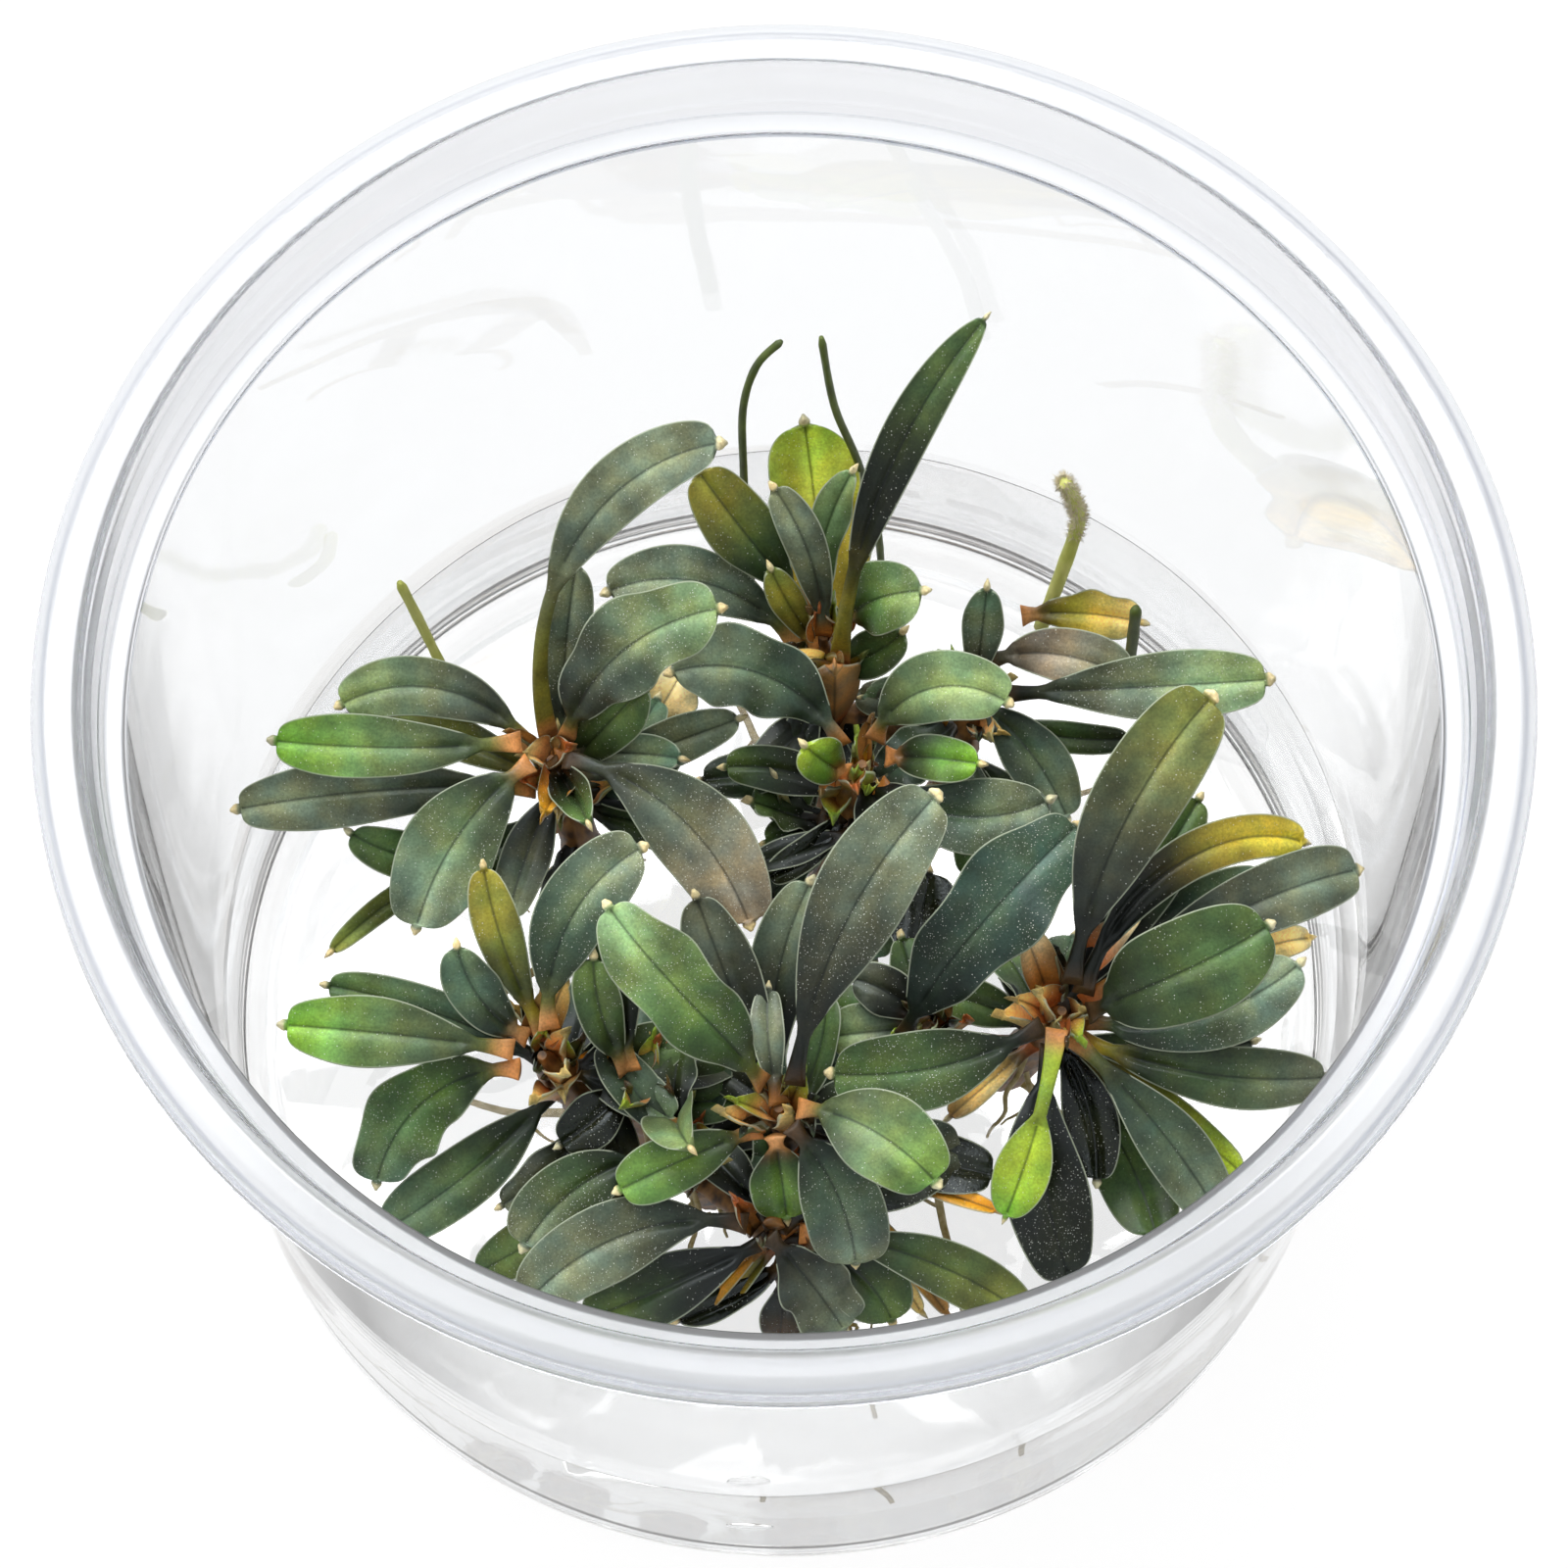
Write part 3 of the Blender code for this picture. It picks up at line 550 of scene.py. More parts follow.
# %% Leaf finish
def make_leaf_finish(name):
    material, tree, shader, _ = new_material(name)
    in_mm = place_in_mm(tree)
    times = {"operation": "MULTIPLY"}
    read = {}
    for label in ("tone", *LEAF_LAYERS):
        outputs = add_node(tree, "Attribute", {"attribute_name": label}).outputs
        read[label] = outputs["Color" if label == "tone" else "Fac"]
    for label, (size, detail) in NOISES.items():
        scale = {"Vector": in_mm, "Scale": 1 / size, "Detail": detail}
        read[label] = add_node(tree, "TexNoise", inputs=scale).outputs["Fac"]
    spacing = {"Vector": in_mm, "Scale": 1 / SPECK_SPACING, "Randomness": 1.0}
    cells = add_node(tree, "TexVoronoi", {"feature": "F1"}, spacing)
    chance = add_node(tree, "SeparateColor", inputs={"Color": cells.outputs["Color"]})
    read["speck"] = cells.outputs["Distance"]
    for label, (source, *ends) in RANGES.items():
        limits = dict(zip(("From Min", "From Max", "To Min", "To Max"), ends))
        stretch = add_node(tree, "MapRange", inputs={"Value": read[source], **limits})
        read[label] = stretch.outputs["Result"]

    # The product of the skin's mottle and grain, the painted shade in the midrib's groove and the painted
    # highlight beside it multiplies the tone, which first turns a little cooler or warmer in patches.
    mottle_and_painted_light = read["mottle"]
    for label in ("graining", "groove", "ridge"):
        mottle_and_painted_light = add_node(tree, "Math", times, {0: mottle_and_painted_light, 1: read[label]}).outputs["Value"]
    mix_colours = {"data_type": "RGBA"}
    warmth = {"Factor": read["warmth"], "A": COOL_PATCH, "B": WARM_PATCH}
    tint = add_node(tree, "Mix", mix_colours, warmth).outputs["Result"]
    tinted = add_node(tree, "VectorMath", times, {0: read["tone"], 1: tint}).outputs["Vector"]
    scaled = {0: tinted, "Scale": mottle_and_painted_light}
    colour = add_node(tree, "VectorMath", {"operation": "SCALE"}, scaled).outputs["Vector"]

    # Only some of the cells show a speck, more of them where the leaf is speckled.
    crowd = add_node(tree, "Math", times, {0: read["crowd"], 1: read["specks"]}).outputs["Value"]
    below = {"operation": "LESS_THAN"}
    kept = add_node(tree, "Math", below, {0: chance.outputs["Red"], 1: crowd}).outputs["Value"]
    bright = add_node(tree, "Math", times, {0: kept, 1: chance.outputs["Green"]}).outputs["Value"]
    glint = add_node(tree, "Math", times, {0: read["dot"], 1: bright}).outputs["Value"]
    for factor, cover in ((glint, SPECK_COLOUR), (read["margin"], MARGIN_COLOUR)):
        layers = {"Factor": factor, "A": colour, "B": linear(cover)}
        colour = add_node(tree, "Mix", mix_colours, layers).outputs["Result"]

    vein_turn = {0: read["vein_way"], 1: math.tau / VEIN_SPACING}
    vein_turn = add_node(tree, "Math", times, vein_turn).outputs["Value"]
    veins = add_node(tree, "Math", {"operation": "SINE"}, {0: vein_turn}).outputs["Value"]
    height = {0: veins, 1: VEIN_HEIGHT, 2: read["grain"]}
    height = add_node(tree, "Math", {"operation": "MULTIPLY_ADD"}, height).outputs["Value"]
    relief = {"Height": height, "Strength": 0.45, "Distance": SKIN_RELIEF * MM}
    gloss = {"Factor": read["wet"], "A": read["satin"], "B": WET_ROUGHNESS}
    look = {
        "Base Color": colour,
        "Roughness": add_node(tree, "Mix", {"data_type": "FLOAT"}, gloss).outputs["Result"],
        "IOR": LEAF_IOR,
        "Specular Tint": linear("#dcebf2"),
        "Specular IOR Level": 0.35,
        "Coat Weight": 0.18,
        "Coat Roughness": 0.22,
        "Normal": add_node(tree, "Bump", inputs=relief).outputs["Normal"],
    }
    set_inputs(tree, shader, look)
    return material


waxy_leaf = make_leaf_finish("waxy_leaf")
print("nodes in the leaf's finish:", len(waxy_leaf.node_tree.nodes))

# %% [markdown]
# ## How a leaf is made
# A leaf is one sleeve: a flat grid whose sides are wrapped round until they meet, so that it has a
# top, an underside and a real edge. Each row of the grid is one section across the leaf. Along the
# row the section changes from a round stalk to a thin blade with a groove on top and a keel below,
# and at the tip it closes in a small cream point, which every leaf of this plant has.
#
# `create_grid` makes the grid, and `add_leaf` says where each row goes. A leaf's row in the table
# gives its look (tones, form), where it leaves the stem (around, in degrees from +X, and level, its
# height), the way it points (heading, rise), its size, how far it bends down (droop) and sideways
# (sweep), its roll, and its surface, where that isn't satin.

# %% Leaf forms and sizes
Form = namedtuple("Form", "stalk widest taper blunt cupping fold wave waves")
FORMS = {
    "oblong": Form(0.18, 1.30, 0.62, 0.28, 0.28, 0.04, 0.06, 2.0),
    "oval": Form(0.13, 1.20, 0.58, 0.32, 0.26, 0.03, 0.06, 2.0),
    "lance": Form(0.19, 1.40, 0.72, 0.34, 0.35, 0.06, 0.04, 2.0),
    "strap": Form(0.18, 1.50, 0.68, 0.24, 0.32, 0.05, 0.05, 2.0),
    "wavy": Form(0.15, 1.25, 0.60, 0.32, 0.25, 0.05, 0.15, 3.5),
    "spoon": Form(0.45, 1.10, 0.70, 0.42, 0.40, 0.04, 0.03, 2.0),
    "folded": Form(0.13, 1.10, 0.60, 0.40, 0.30, 0.55, 0.06, 2.0),
    "rolled": Form(0.34, 1.20, 0.60, 0.50, 0.60, 0.00, 0.02, 2.0),
    "tall": Form(0.42, 1.50, 0.60, 0.24, 0.35, 0.05, 0.05, 2.0),
    "sheath": Form(0.02, 0.75, 0.35, 0.80, 1.30, 0.00, 0.14, 1.5),
    "stub": Form(0.02, 0.70, 0.30, 0.30, 1.60, 0.00, 0.10, 1.5),
}
SCALES = ("sheath", "stub")
SURFACES = {"satin": (0.25, 0.0), "speckled": (0.95, 0.0), "wet": (0.4, 1.0)}
leaf_fields = "tones form around level heading rise length width droop sweep roll surface"
Leaf = namedtuple("Leaf", leaf_fields, defaults=["satin"])
TOP_ACROSS = [-1, -0.96, -0.86, -0.68, -0.46, -0.24, -0.1, 0, 0.1, 0.24, 0.46, 0.68, 0.86, 0.96, 1]
UNDER_ACROSS = [0.9, 0.6, 0.3, 0.12, 0, -0.12, -0.3, -0.6, -0.9]
ACROSS = TOP_ACROSS + UNDER_ACROSS
LEAF_ROWS = 44
TIP_ROWS = 5
ROW_CROWDING = 1.5
STALK_HALF = 0.5
STALK_DEPTH = 0.42
BLADE_DEPTH = 0.17
EDGE_DEPTH = 0.06
EDGE_CURL = 0.06
TIP_LENGTH = 0.75
TIP_HALF = 0.15
TIP_BULB = 0.35
TIP_TAPER = 0.6
GROOVE = 0.2
GROOVE_REACH = 0.26
RIDGE = 0.07
RIDGE_AT = 0.62
RIDGE_REACH = 0.28
KEEL = 0.22
FLARE = 0.7
CLASP = 0.5
SIDES_APART = 1.7
FAR_FROM_RIB = 3.0
FOOT_REACH = 2.4
LEAF_MERGE = 1e-5
# Painted light on the blade: shade towards its base, where the crown shades it, and sheen towards its tip.
BASE_PAINTED_SHADE = 0.08
TIP_PAINTED_SHEEN = 1.4
FOOT_TONES = {
    "moss": "peach",
    "gold": "peach",
    "lime": "peach",
    "olive": "peach",
    "bark": "ember",
    "amber": "ember",
    "pine": "rust",
    "slate": "rust",
}
print("points in a leaf's section:", len(ACROSS))


# %% The way a leaf runs
def smooth(low, high, value):
    share = min(max((value - low) / (high - low), 0.0), 1.0)
    return share * share * (3 - 2 * share)


def bend_path(start, leaf, bends):
    """The leaf's centre line as points, one for each of the bends and one for the tip."""
    points = [Vector(start)]
    for number in range(bends):
        ahead = leaf_frame(leaf, number / bends)[0]
        points.append(points[-1] + ahead * leaf.length / bends)
    return points


def leaf_frame(leaf, share):
    """The way ahead, the sideways direction and the face's normal at a share of the length."""
    pitch = math.radians(leaf.rise - leaf.droop * share)
    turn = math.radians(leaf.heading + leaf.sweep * share)
    ahead = Vector((math.cos(pitch) * math.cos(turn), math.cos(pitch) * math.sin(turn), math.sin(pitch)))
    side = Vector((math.sin(turn), -math.cos(turn), 0.0))
    side.rotate(Matrix.Rotation(math.radians(-leaf.roll), 3, ahead))
    return ahead, side, side.cross(ahead)


def along_path(points, share):
    spot = min(max(share, 0.0), 0.9999) * (len(points) - 1)
    number = int(spot)
    return points[number].lerp(points[number + 1], spot - number)


def leaf_outline(leaf, form, share):
    """Half the width in millimetres, and how far the section is blade, from 0 to 1."""
    blade = (share - form.stalk) / (1.0 - form.stalk)
    if blade <= 0.0:
        return STALK_HALF * (1.0 + FLARE * (1.0 - share / form.stalk) ** 2), 0.0
    blade = min(blade, 1.0)
    taper = form.taper + (form.blunt - form.taper) * blade
    bulge = math.sin(math.pi * min(blade**form.widest, 0.9999)) ** taper
    least = STALK_HALF + (TIP_HALF - STALK_HALF) * blade
    return least + (leaf.width / 2 - least) * bulge, smooth(0.0, 0.35, bulge)


def leaf_tone(leaf, share, under):
    """The colour at a share of the length: foot, stalk, base and tip blend, and the blade gets painted
    shade at its base and painted sheen at its tip.
    """
    stalk, base, tip = [linear(TONES[tone]) for tone in leaf.tones.split()]
    form = FORMS[leaf.form]
    colour = blend(base, tip, smooth(form.stalk + 0.2, 1.05, share))
    colour = blend(stalk, colour, smooth(form.stalk * 0.6, form.stalk + 0.12, share))
    if leaf.form not in SCALES:
        foot = linear(TONES[FOOT_TONES.get(leaf.tones.split()[0], "umber")])
        colour = blend(foot, colour, smooth(0.2, 1.0, share * leaf.length / FOOT_REACH))
    if under:
        colour = blend(colour, linear(TONES["sage"]), 0.35 * smooth(form.stalk, form.stalk + 0.15, share))
    # Painted light: the blade darkens towards its base as painted shade and lightens towards its tip as
    # painted sheen.
    depth = 1.0
    if leaf.form not in SCALES:
        blade_painted_light = BASE_PAINTED_SHADE + (TIP_PAINTED_SHEEN - BASE_PAINTED_SHADE) * smooth(0.1, 0.85, share)
        depth += (blade_painted_light - 1.0) * smooth(form.stalk * 0.5, form.stalk + 0.1, share)
    return [channel * depth for channel in colour[:3]] + [1.0]


print("leaf forms:", len(FORMS))


# %% Build a leaf
def add_leaf(bm, start, leaf, bends, phase, rows=LEAF_ROWS):
    """Adds one leaf to a bmesh, with the attributes that its finish reads."""
    form = FORMS[leaf.form]
    specks, wet = SURFACES[leaf.surface]
    layers = {name: bm.verts.layers.float[name] for name in LEAF_LAYERS}
    tone_layer = bm.verts.layers.float_color["tone"]
    path = bend_path(start, leaf, bends)
    columns = len(ACROSS)
    grid = bmesh.ops.create_grid(bm, x_segments=columns, y_segments=rows + TIP_ROWS, size=0.5)
    for vert in grid["verts"]:
        column = round((vert.co.x + 0.5) * columns)
        row = round((vert.co.y + 0.5) * (rows + TIP_ROWS))
        across = ACROSS[column % columns]
        under = column % columns >= len(TOP_ACROSS)
        point_share = max(row - rows, 0) / TIP_ROWS
        share = 1.0 - (1.0 - min(row / rows, 1.0)) ** ROW_CROWDING
        ahead, side, normal = leaf_frame(leaf, share)
        centre = along_path(path, share) + ahead * TIP_LENGTH * point_share
        half, flat = leaf_outline(leaf, form, share)
        half *= 1.0 - TIP_TAPER * point_share + TIP_BULB * math.sin(math.pi * point_share) ** 2
        flat *= 1.0 - point_share

        # The section's middle line: cupped, folded, curled at its edges, and waved.
        cupping = form.cupping * flat
        x, z = half * across, 0.0
        if cupping > 0.01:
            x = half / cupping * math.sin(cupping * across)
            z = half / cupping * (1 - math.cos(cupping * across))
        z += form.fold * abs(across) * half * flat
        z += EDGE_CURL * half * math.sin(math.pi * abs(across)) * flat
        wave_way = math.tau * form.waves * share + phase + (across > 0) * SIDES_APART
        z += form.wave * half * across**2 * math.sin(wave_way) * flat
        x *= 1.0 + 0.6 * form.wave * math.sin(wave_way * 0.8 + 1.0) * flat
        z += CLASP * max(half / STALK_HALF - 1.0, 0.0) * (1.0 - flat) * across**2

        # Its thickness, from a round stalk to a thin blade with a groove above and a keel below.
        round_depth = STALK_DEPTH * math.sqrt(max(1 - across**2, 0.0))
        flat_depth = EDGE_DEPTH + (BLADE_DEPTH - EDGE_DEPTH) * (1 - across**2)
        depth = round_depth + (flat_depth - round_depth) * flat
        from_rib = abs(across) * half
        dip = math.exp(-((from_rib / GROOVE_REACH) ** 2)) * smooth(0.15, 0.5, flat)
        ridge = RIDGE * math.exp(-(((from_rib - RIDGE_AT) / RIDGE_REACH) ** 2)) * flat
        z += -depth - KEEL * dip if under else depth - GROOVE * dip + ridge
        vert.co = centre + side * x + normal * z

        in_blade = smooth(0.3, 0.8, flat)
        values = {
            "inset": half * (1 - abs(across)) * in_blade + (1 - in_blade),
            "rib": from_rib * in_blade + FAR_FROM_RIB * (1 - in_blade),
            "specks": specks * smooth(0.1, 0.6, share) * (not under),
            "wet": wet,
            "vein_way": from_rib * 2.0 - share * leaf.length * 0.5,
        }
        for name, value in values.items():
            vert[layers[name]] = value
        cream_share = smooth(0.1, 0.5, point_share) * (leaf.form not in SCALES)
        vert[tone_layer] = blend(leaf_tone(leaf, share, under), linear(TONES["cream"]), cream_share)
    bmesh.ops.remove_doubles(bm, verts=grid["verts"], dist=LEAF_MERGE)


def close_ends(bm):
    """Closes the sleeves' open ends and turns every face outwards."""
    bmesh.ops.holes_fill(bm, edges=[edge for edge in bm.edges if edge.is_boundary], sides=0)
    bmesh.ops.recalc_face_normals(bm, faces=bm.faces)


def leaf_bmesh():
    bm = bmesh.new()
    for name in LEAF_LAYERS:
        bm.verts.layers.float.new(name)
    bm.verts.layers.float_color.new("tone")
    return bm


print("sections along a leaf:", LEAF_ROWS + TIP_ROWS)

# %% [markdown]
# ## The shoots
# Eleven shoots stand in the gel, and each carries a crown of leaves. The tables repeat the places
# that the solids have, and add each leaf's look. Large leaves have a solid of their own, and small
# ones are part of the stem's solid.

# %% The shoots
Shoot = namedtuple("Shoot", "stem foot top leaves small_leaves")
SHOOTS = {
    "back_left": Shoot(
        "stem_back_left", (-13, 5, 12), (-17.5, 9, 37),
        [
            ("olive slate slate", "tall", 100, 35, 108, 66, 32.5, 5.2, 34, -118, -21),
            ("moss slate sage", "wavy", 40, 36, 45, 80, 19.5, 6.6, 62, -44, -27, "speckled"),
            ("moss slate sage", "oblong", 140, 34, 133, 34, 16, 4.6, 45, 75, 25),
            ("moss sage fresh", "oblong", 175, 37, 192, 14, 18, 4.8, 10, -17, 25),
            ("moss slate slate", "oblong", 195, 32, 186, 19, 22, 5.0, 32, 0, 25),
            ("moss sage mist", "oval", 235, 37, 217, 0, 15, 7.0, 45, 32, 15, "speckled"),
            ("graphite slate mauve", "oblong", 320, 37, 344, 10, 19, 6.8, 50, -50, -15, "speckled"),
            ("moss slate slate", "oval", 75, 32, 96, 39, 16.5, 4.0, -30, -27, -4, "speckled"),
        ],
        [
            ("gold moss moss", "oblong", 170, 31, 162, 40, 15.5, 3.5, 84, -13, 22),
            ("gold pine pine", "oval", 20, 33, 23, 56, 13, 4.5, -7, -11, -34),
            ("slate slate petrol", "oval", 0, 35, 7, 10, 10, 3.0, -20, -34, -25),
            ("slate slate slate", "oval", 340, 32, 19, 10, 14.5, 3.6, -30, -17, -25),
            ("ink ink pine", "folded", 270, 35, 299, 29, 9, 3.0, -10, -13, -15, "wet"),
            ("graphite graphite slate", "oval", 265, 32, 240, -14, 10.5, 3.8, -7, 19, 8),
            ("moss pine pine", "oval", 225, 30, 232, -5, 17.5, 4.0, -30, -80, 24),
            ("moss pine moss", "oblong", 215, 27, 191, -13, 21, 2.0, -30, 43, 20),
        ],
    ),
    "back": Shoot(
        "stem_back", (2, 14, 12), (3, 19, 37),
        [
            ("moss mist slate", "oblong", 165, 33, 136, 38, 16.5, 5.0, 30, 75, 25, "speckled"),
            ("olive ink pine", "rolled", 310, 34, 74, 82, 34, 3.8, 52, -32, -16),
            ("moss pine olive", "oblong", 125, 36, 140, 34, 14, 5.2, -15, 0, 20),
            ("pine forest sage", "oval", 0, 37, 354, 80, 9, 5.6, 55, -5, -36, "speckled"),
            ("gold butter lime", "wavy", 60, 26, 93, 23, 20.5, 7.6, -30, 9, 3),
        ],
        [
            ("slate slate slate", "oblong", 80, 35, 100, 74, 13.5, 3.2, 38, 35, 17),
            ("moss pine sage", "wavy", 110, 33, 104, 31, 14.5, 3.0, -26, -62, -10),
            ("lime olive moss", "oval", 200, 34, 142, 47, 8.5, 2.6, -22, -6, 23),
            ("pine pine pine", "oval", 290, 32, 346, 32, 8.5, 3.6, -30, 30, -33),
        ],
    ),
    "middle": Shoot(
        "stem_back", (3, 6, 12), (6, 8.5, 37),
        [
            ("moss sage sage", "oblong", 60, 36, 40, 80, 13.5, 5.4, 90, -72, -27),
            ("moss pine fresh", "oval", 0, 36, 335, 49, 8, 3.6, 37, 10, -27),
            ("lime fresh lime", "oval", 220, 36, 199, 61, 6, 3.8, 0, -31, 44),
            ("slate petrol slate", "wavy", 150, 36, 124, 33, 15, 6.2, 26, 80, 25),
            ("slate petrol slate", "oval", 320, 34, 319, 10, 14.5, 5.6, -30, 51, -27, "speckled"),
        ],
        [
            ("ink ink petrol", "oval", 290, 33, 300, 30, 8, 5.0, 10, 0, -10),
            ("pine ink pine", "oval", 180, 30, 157, 28, 9.5, 3.6, 44, 22, 23),
            ("ink ink ink", "oblong", 240, 29, 236, 2, 8, 2.6, 19, -32, 20, "wet"),
        ],
    ),
    "back_right": Shoot(
        "stem_back", (11, 11, 13), (14.5, 15.5, 35),
        [
            ("graphite mauve slate", "oblong", 60, 34, 354, 56, 11.5, 4.4, 92, -12, -25),
            ("ink slate sage", "strap", 330, 34, 344, 37, 21.5, 5.2, 25, 15, -26, "speckled"),
        ],
        [
            ("slate slate petrol", "oval", 90, 33, 81, 47, 8.5, 3.1, -20, 0, -5, "speckled"),
            ("petrol petrol slate", "oval", 300, 32, 323, 4, 11, 4.6, 42, -27, -14),
            ("ink pine ink", "oblong", 340, 30, 342, -5, 12, 2.5, -30, 10, -24),
        ],
    ),
    "left": Shoot(
        "stem_left", (-12, -12, 11), (-18, -15, 37),
        [
            ("moss petrol slate", "oblong", 60, 37, 93, 52, 16, 5.8, 35, -70, -14, "speckled"),
            ("gold moss olive", "lance", 90, 35, 130, 54, 13.5, 3.6, 24, -30, 10),
            ("moss petrol petrol", "oval", 130, 35, 170, 43, 9.5, 4.0, -6, -65, 16),
            ("moss sage fresh", "oblong", 175, 36, 179, 21, 16.5, 5.2, 29, -6, 24),
            ("moss forest petrol", "wavy", 215, 35, 173, -10, 15, 6.0, 36, 80, 20, "speckled"),
        ],
        [
            ("ink petrol pine", "oval", 150, 32, 156, 19, 17, 3.6, 11, 17, 23),
            ("ink pine petrol", "oblong", 260, 29, 232, 0, 17, 5.0, 26, -29, 19),
        ],
    ),
    "inner_left": Shoot(
        "stem_left", (-9, -13, 11), (-11.5, -15.5, 34),
        [],
        [
            ("moss pine pine", "oblong", 110, 33, 139, 63, 10, 3.6, 19, -51, 9),
            ("moss ink pine", "oblong", 60, 33, 104, 50, 11.5, 3.6, 11, -13, 3),
            ("ink ink graphite", "wavy", 230, 29, 232, -6, 12.5, 3.5, 9, -24, 18, "wet"),
            ("ink ink ink", "oval", 250, 31, 231, 4, 6.5, 4.0, 26, -22, 18, "wet"),
        ],
    ),
    "front_left": Shoot(
        "stem_front", (-5, -17, 11), (-7.5, -20.5, 31),
        [
            ("moss sage sage", "folded", 100, 30.5, 262, 80, 9.5, 4.5, 45, 35, -22),
            ("ink pine slate", "oblong", 190, 30, 191, 6, 12, 5.6, 41, 43, 19, "speckled"),
        ],
        [
            ("ink moss pine", "oval", 220, 26, 212, 12, 18, 4.2, 60, -20, 23),
        ],
    ),
    "front": Shoot(
        "stem_front", (1, -16, 11), (-0.5, -19.5, 38),
        [
            ("moss forest sage", "wavy", 130, 38, 169, 77, 20.5, 6.2, 62, -42, 22, "speckled"),
            ("ink graphite slate", "strap", 50, 38, 75, 59, 25, 6.8, 36, -34, -14, "speckled"),
            ("moss sage forest", "oblong", 340, 38, 336, 47, 12.5, 6.5, 72, -20, -20),
            ("moss forest forest", "oval", 260, 35, 282, -44, 7, 5.0, 20, 0, -5),
            ("ink petrol slate", "oval", 300, 37, 314, -12, 13, 6.2, 70, -28, -13, "speckled"),
            ("moss forest forest", "oblong", 215, 34, 206, 10, 11, 4.5, 38, -8, 23),
        ],
        [
            ("ink ink graphite", "oval", 110, 34, 114, 24, 16.5, 5.0, -10, 0, 9),
            ("ink ink slate", "oblong", 80, 33, 105, 17, 17.5, 4.5, -30, -51, -6),
            ("slate slate graphite", "oblong", 90, 36, 106, 40, 8.5, 2.5, 56, -21, 0),
        ],
    ),
    "low_front": Shoot(
        "stem_front", (2, -21, 12), (-1, -26.5, 30),
        [
            ("ink slate slate", "oblong", 160, 29.5, 175, 13, 17.5, 6.0, 42, 48, 22, "speckled"),
            ("moss pine moss", "lance", 0, 28, 350, 14, 18.5, 4.5, 62, -12, -23),
        ],
        [
            ("ink graphite slate", "wavy", 235, 29.5, 322, -30, 9.5, 5.4, 20, -9, -21),
            ("ink ink pine", "oval", 300, 27, 352, 5, 11, 5.6, 60, -50, -15),
            ("ink ink graphite", "oblong", 50, 28, 24, 40, 15.5, 6.0, 76, 0, -26, "wet"),
            ("ink ink pine", "oblong", 215, 27, 210, 5, 15, 5.0, 33, -18, 22),
        ],
    ),
    "right": Shoot(
        "stem_right", (16, -8, 12), (20.5, -12, 38),
        [
            ("ink pine pine", "oblong", 220, 36, 211, 0, 16, 6.0, -13, -31, 24, "speckled"),
            ("ink graphite moss", "strap", 80, 38, 74, 66, 25, 6.8, 48, -30, -12),
            ("ink pine pine", "oval", 340, 38, 350, 65, 16.5, 7.8, 59, 42, -25),
            ("gold pine graphite", "oblong", 320, 33, 330, 13, 19, 4.6, 29, 42, -23),
            ("lime lime fresh", "spoon", 250, 37, 263, -4, 14.5, 4.2, 53, -23, 8),
            ("ink ink ink", "oblong", 270, 32, 255, 5, 17.5, 6.2, 58, 44, -4, "speckled"),
            ("moss petrol slate", "lance", 295, 35, 315, 2, 18, 5.0, 61, 0, -17),
            ("ink ink gold", "oblong", 45, 37, 62, 62, 23.5, 3.6, 112, -56, -21),
            ("bark graphite slate", "strap", 20, 36, 23, 47, 24, 5.2, 86, 6, -22),
            ("pine petrol mist", "oval", 350, 34.5, 346, 5, 17, 5.5, -30, 46, -23, "speckled"),
        ],
        [
            ("gold pine graphite", "oval", 330, 28, 344, -3, 15.5, 4.0, -26, 24, -24),
            ("ink ink ink", "oblong", 290, 31, 306, -8, 11.5, 4.0, 15, -38, -6, "wet"),
            ("olive olive lime", "oblong", 310, 30, 334, -20, 17.5, 3.0, -30, -21, -19),
            ("moss pine pine", "oblong", 300, 28, 319, -24, 17, 6.0, -30, -39, -11),
            ("graphite ink petrol", "lance", 40, 32, 36, 40, 19.5, 4.2, 66, -6, -20),
            ("ink ink pine", "oval", 65, 34, 50, 28, 18.5, 4.5, 8, 7, -14),
            ("amber pine straw", "oval", 10, 32, 5, 50, 23, 3.0, 105, 31, -23),
        ],
    ),
    "inner_right": Shoot(
        "stem_right", (9, -8, 12), (10.5, -11.5, 34),
        [
            ("ink teal teal", "wavy", 215, 33.5, 37, 80, 22.5, 7.2, 96, 12, -17, "speckled"),
        ],
        [
            ("ink ink graphite", "oval", 150, 32, 135, 33, 6, 3.8, 45, 29, 21),
            ("slate slate sage", "oval", 190, 31, 189, 19, 6.5, 4.6, 36, -6, 23),
        ],
    ),
}
print("shoots:", len(SHOOTS))

# %% Leaves on the shoots
LEAF_REACH = 1.9
SMALL_LEAF_REACH = 0.4
LEAF_BENDS = 28
SMALL_LEAF_BENDS = 20
PHASE_STEP = 1.3


def stem_point(shoot, level):
    """The point of a shoot's axis at a height."""
    foot, top = Vector(shoot.foot), Vector(shoot.top)
    return foot.lerp(top, (level - foot.z) / (top.z - foot.z))


def leaf_start(shoot, leaf, reach):
    angle = math.radians(leaf.around)
    return stem_point(shoot, leaf.level) + Vector((math.cos(angle), math.sin(angle), 0.0)) * reach


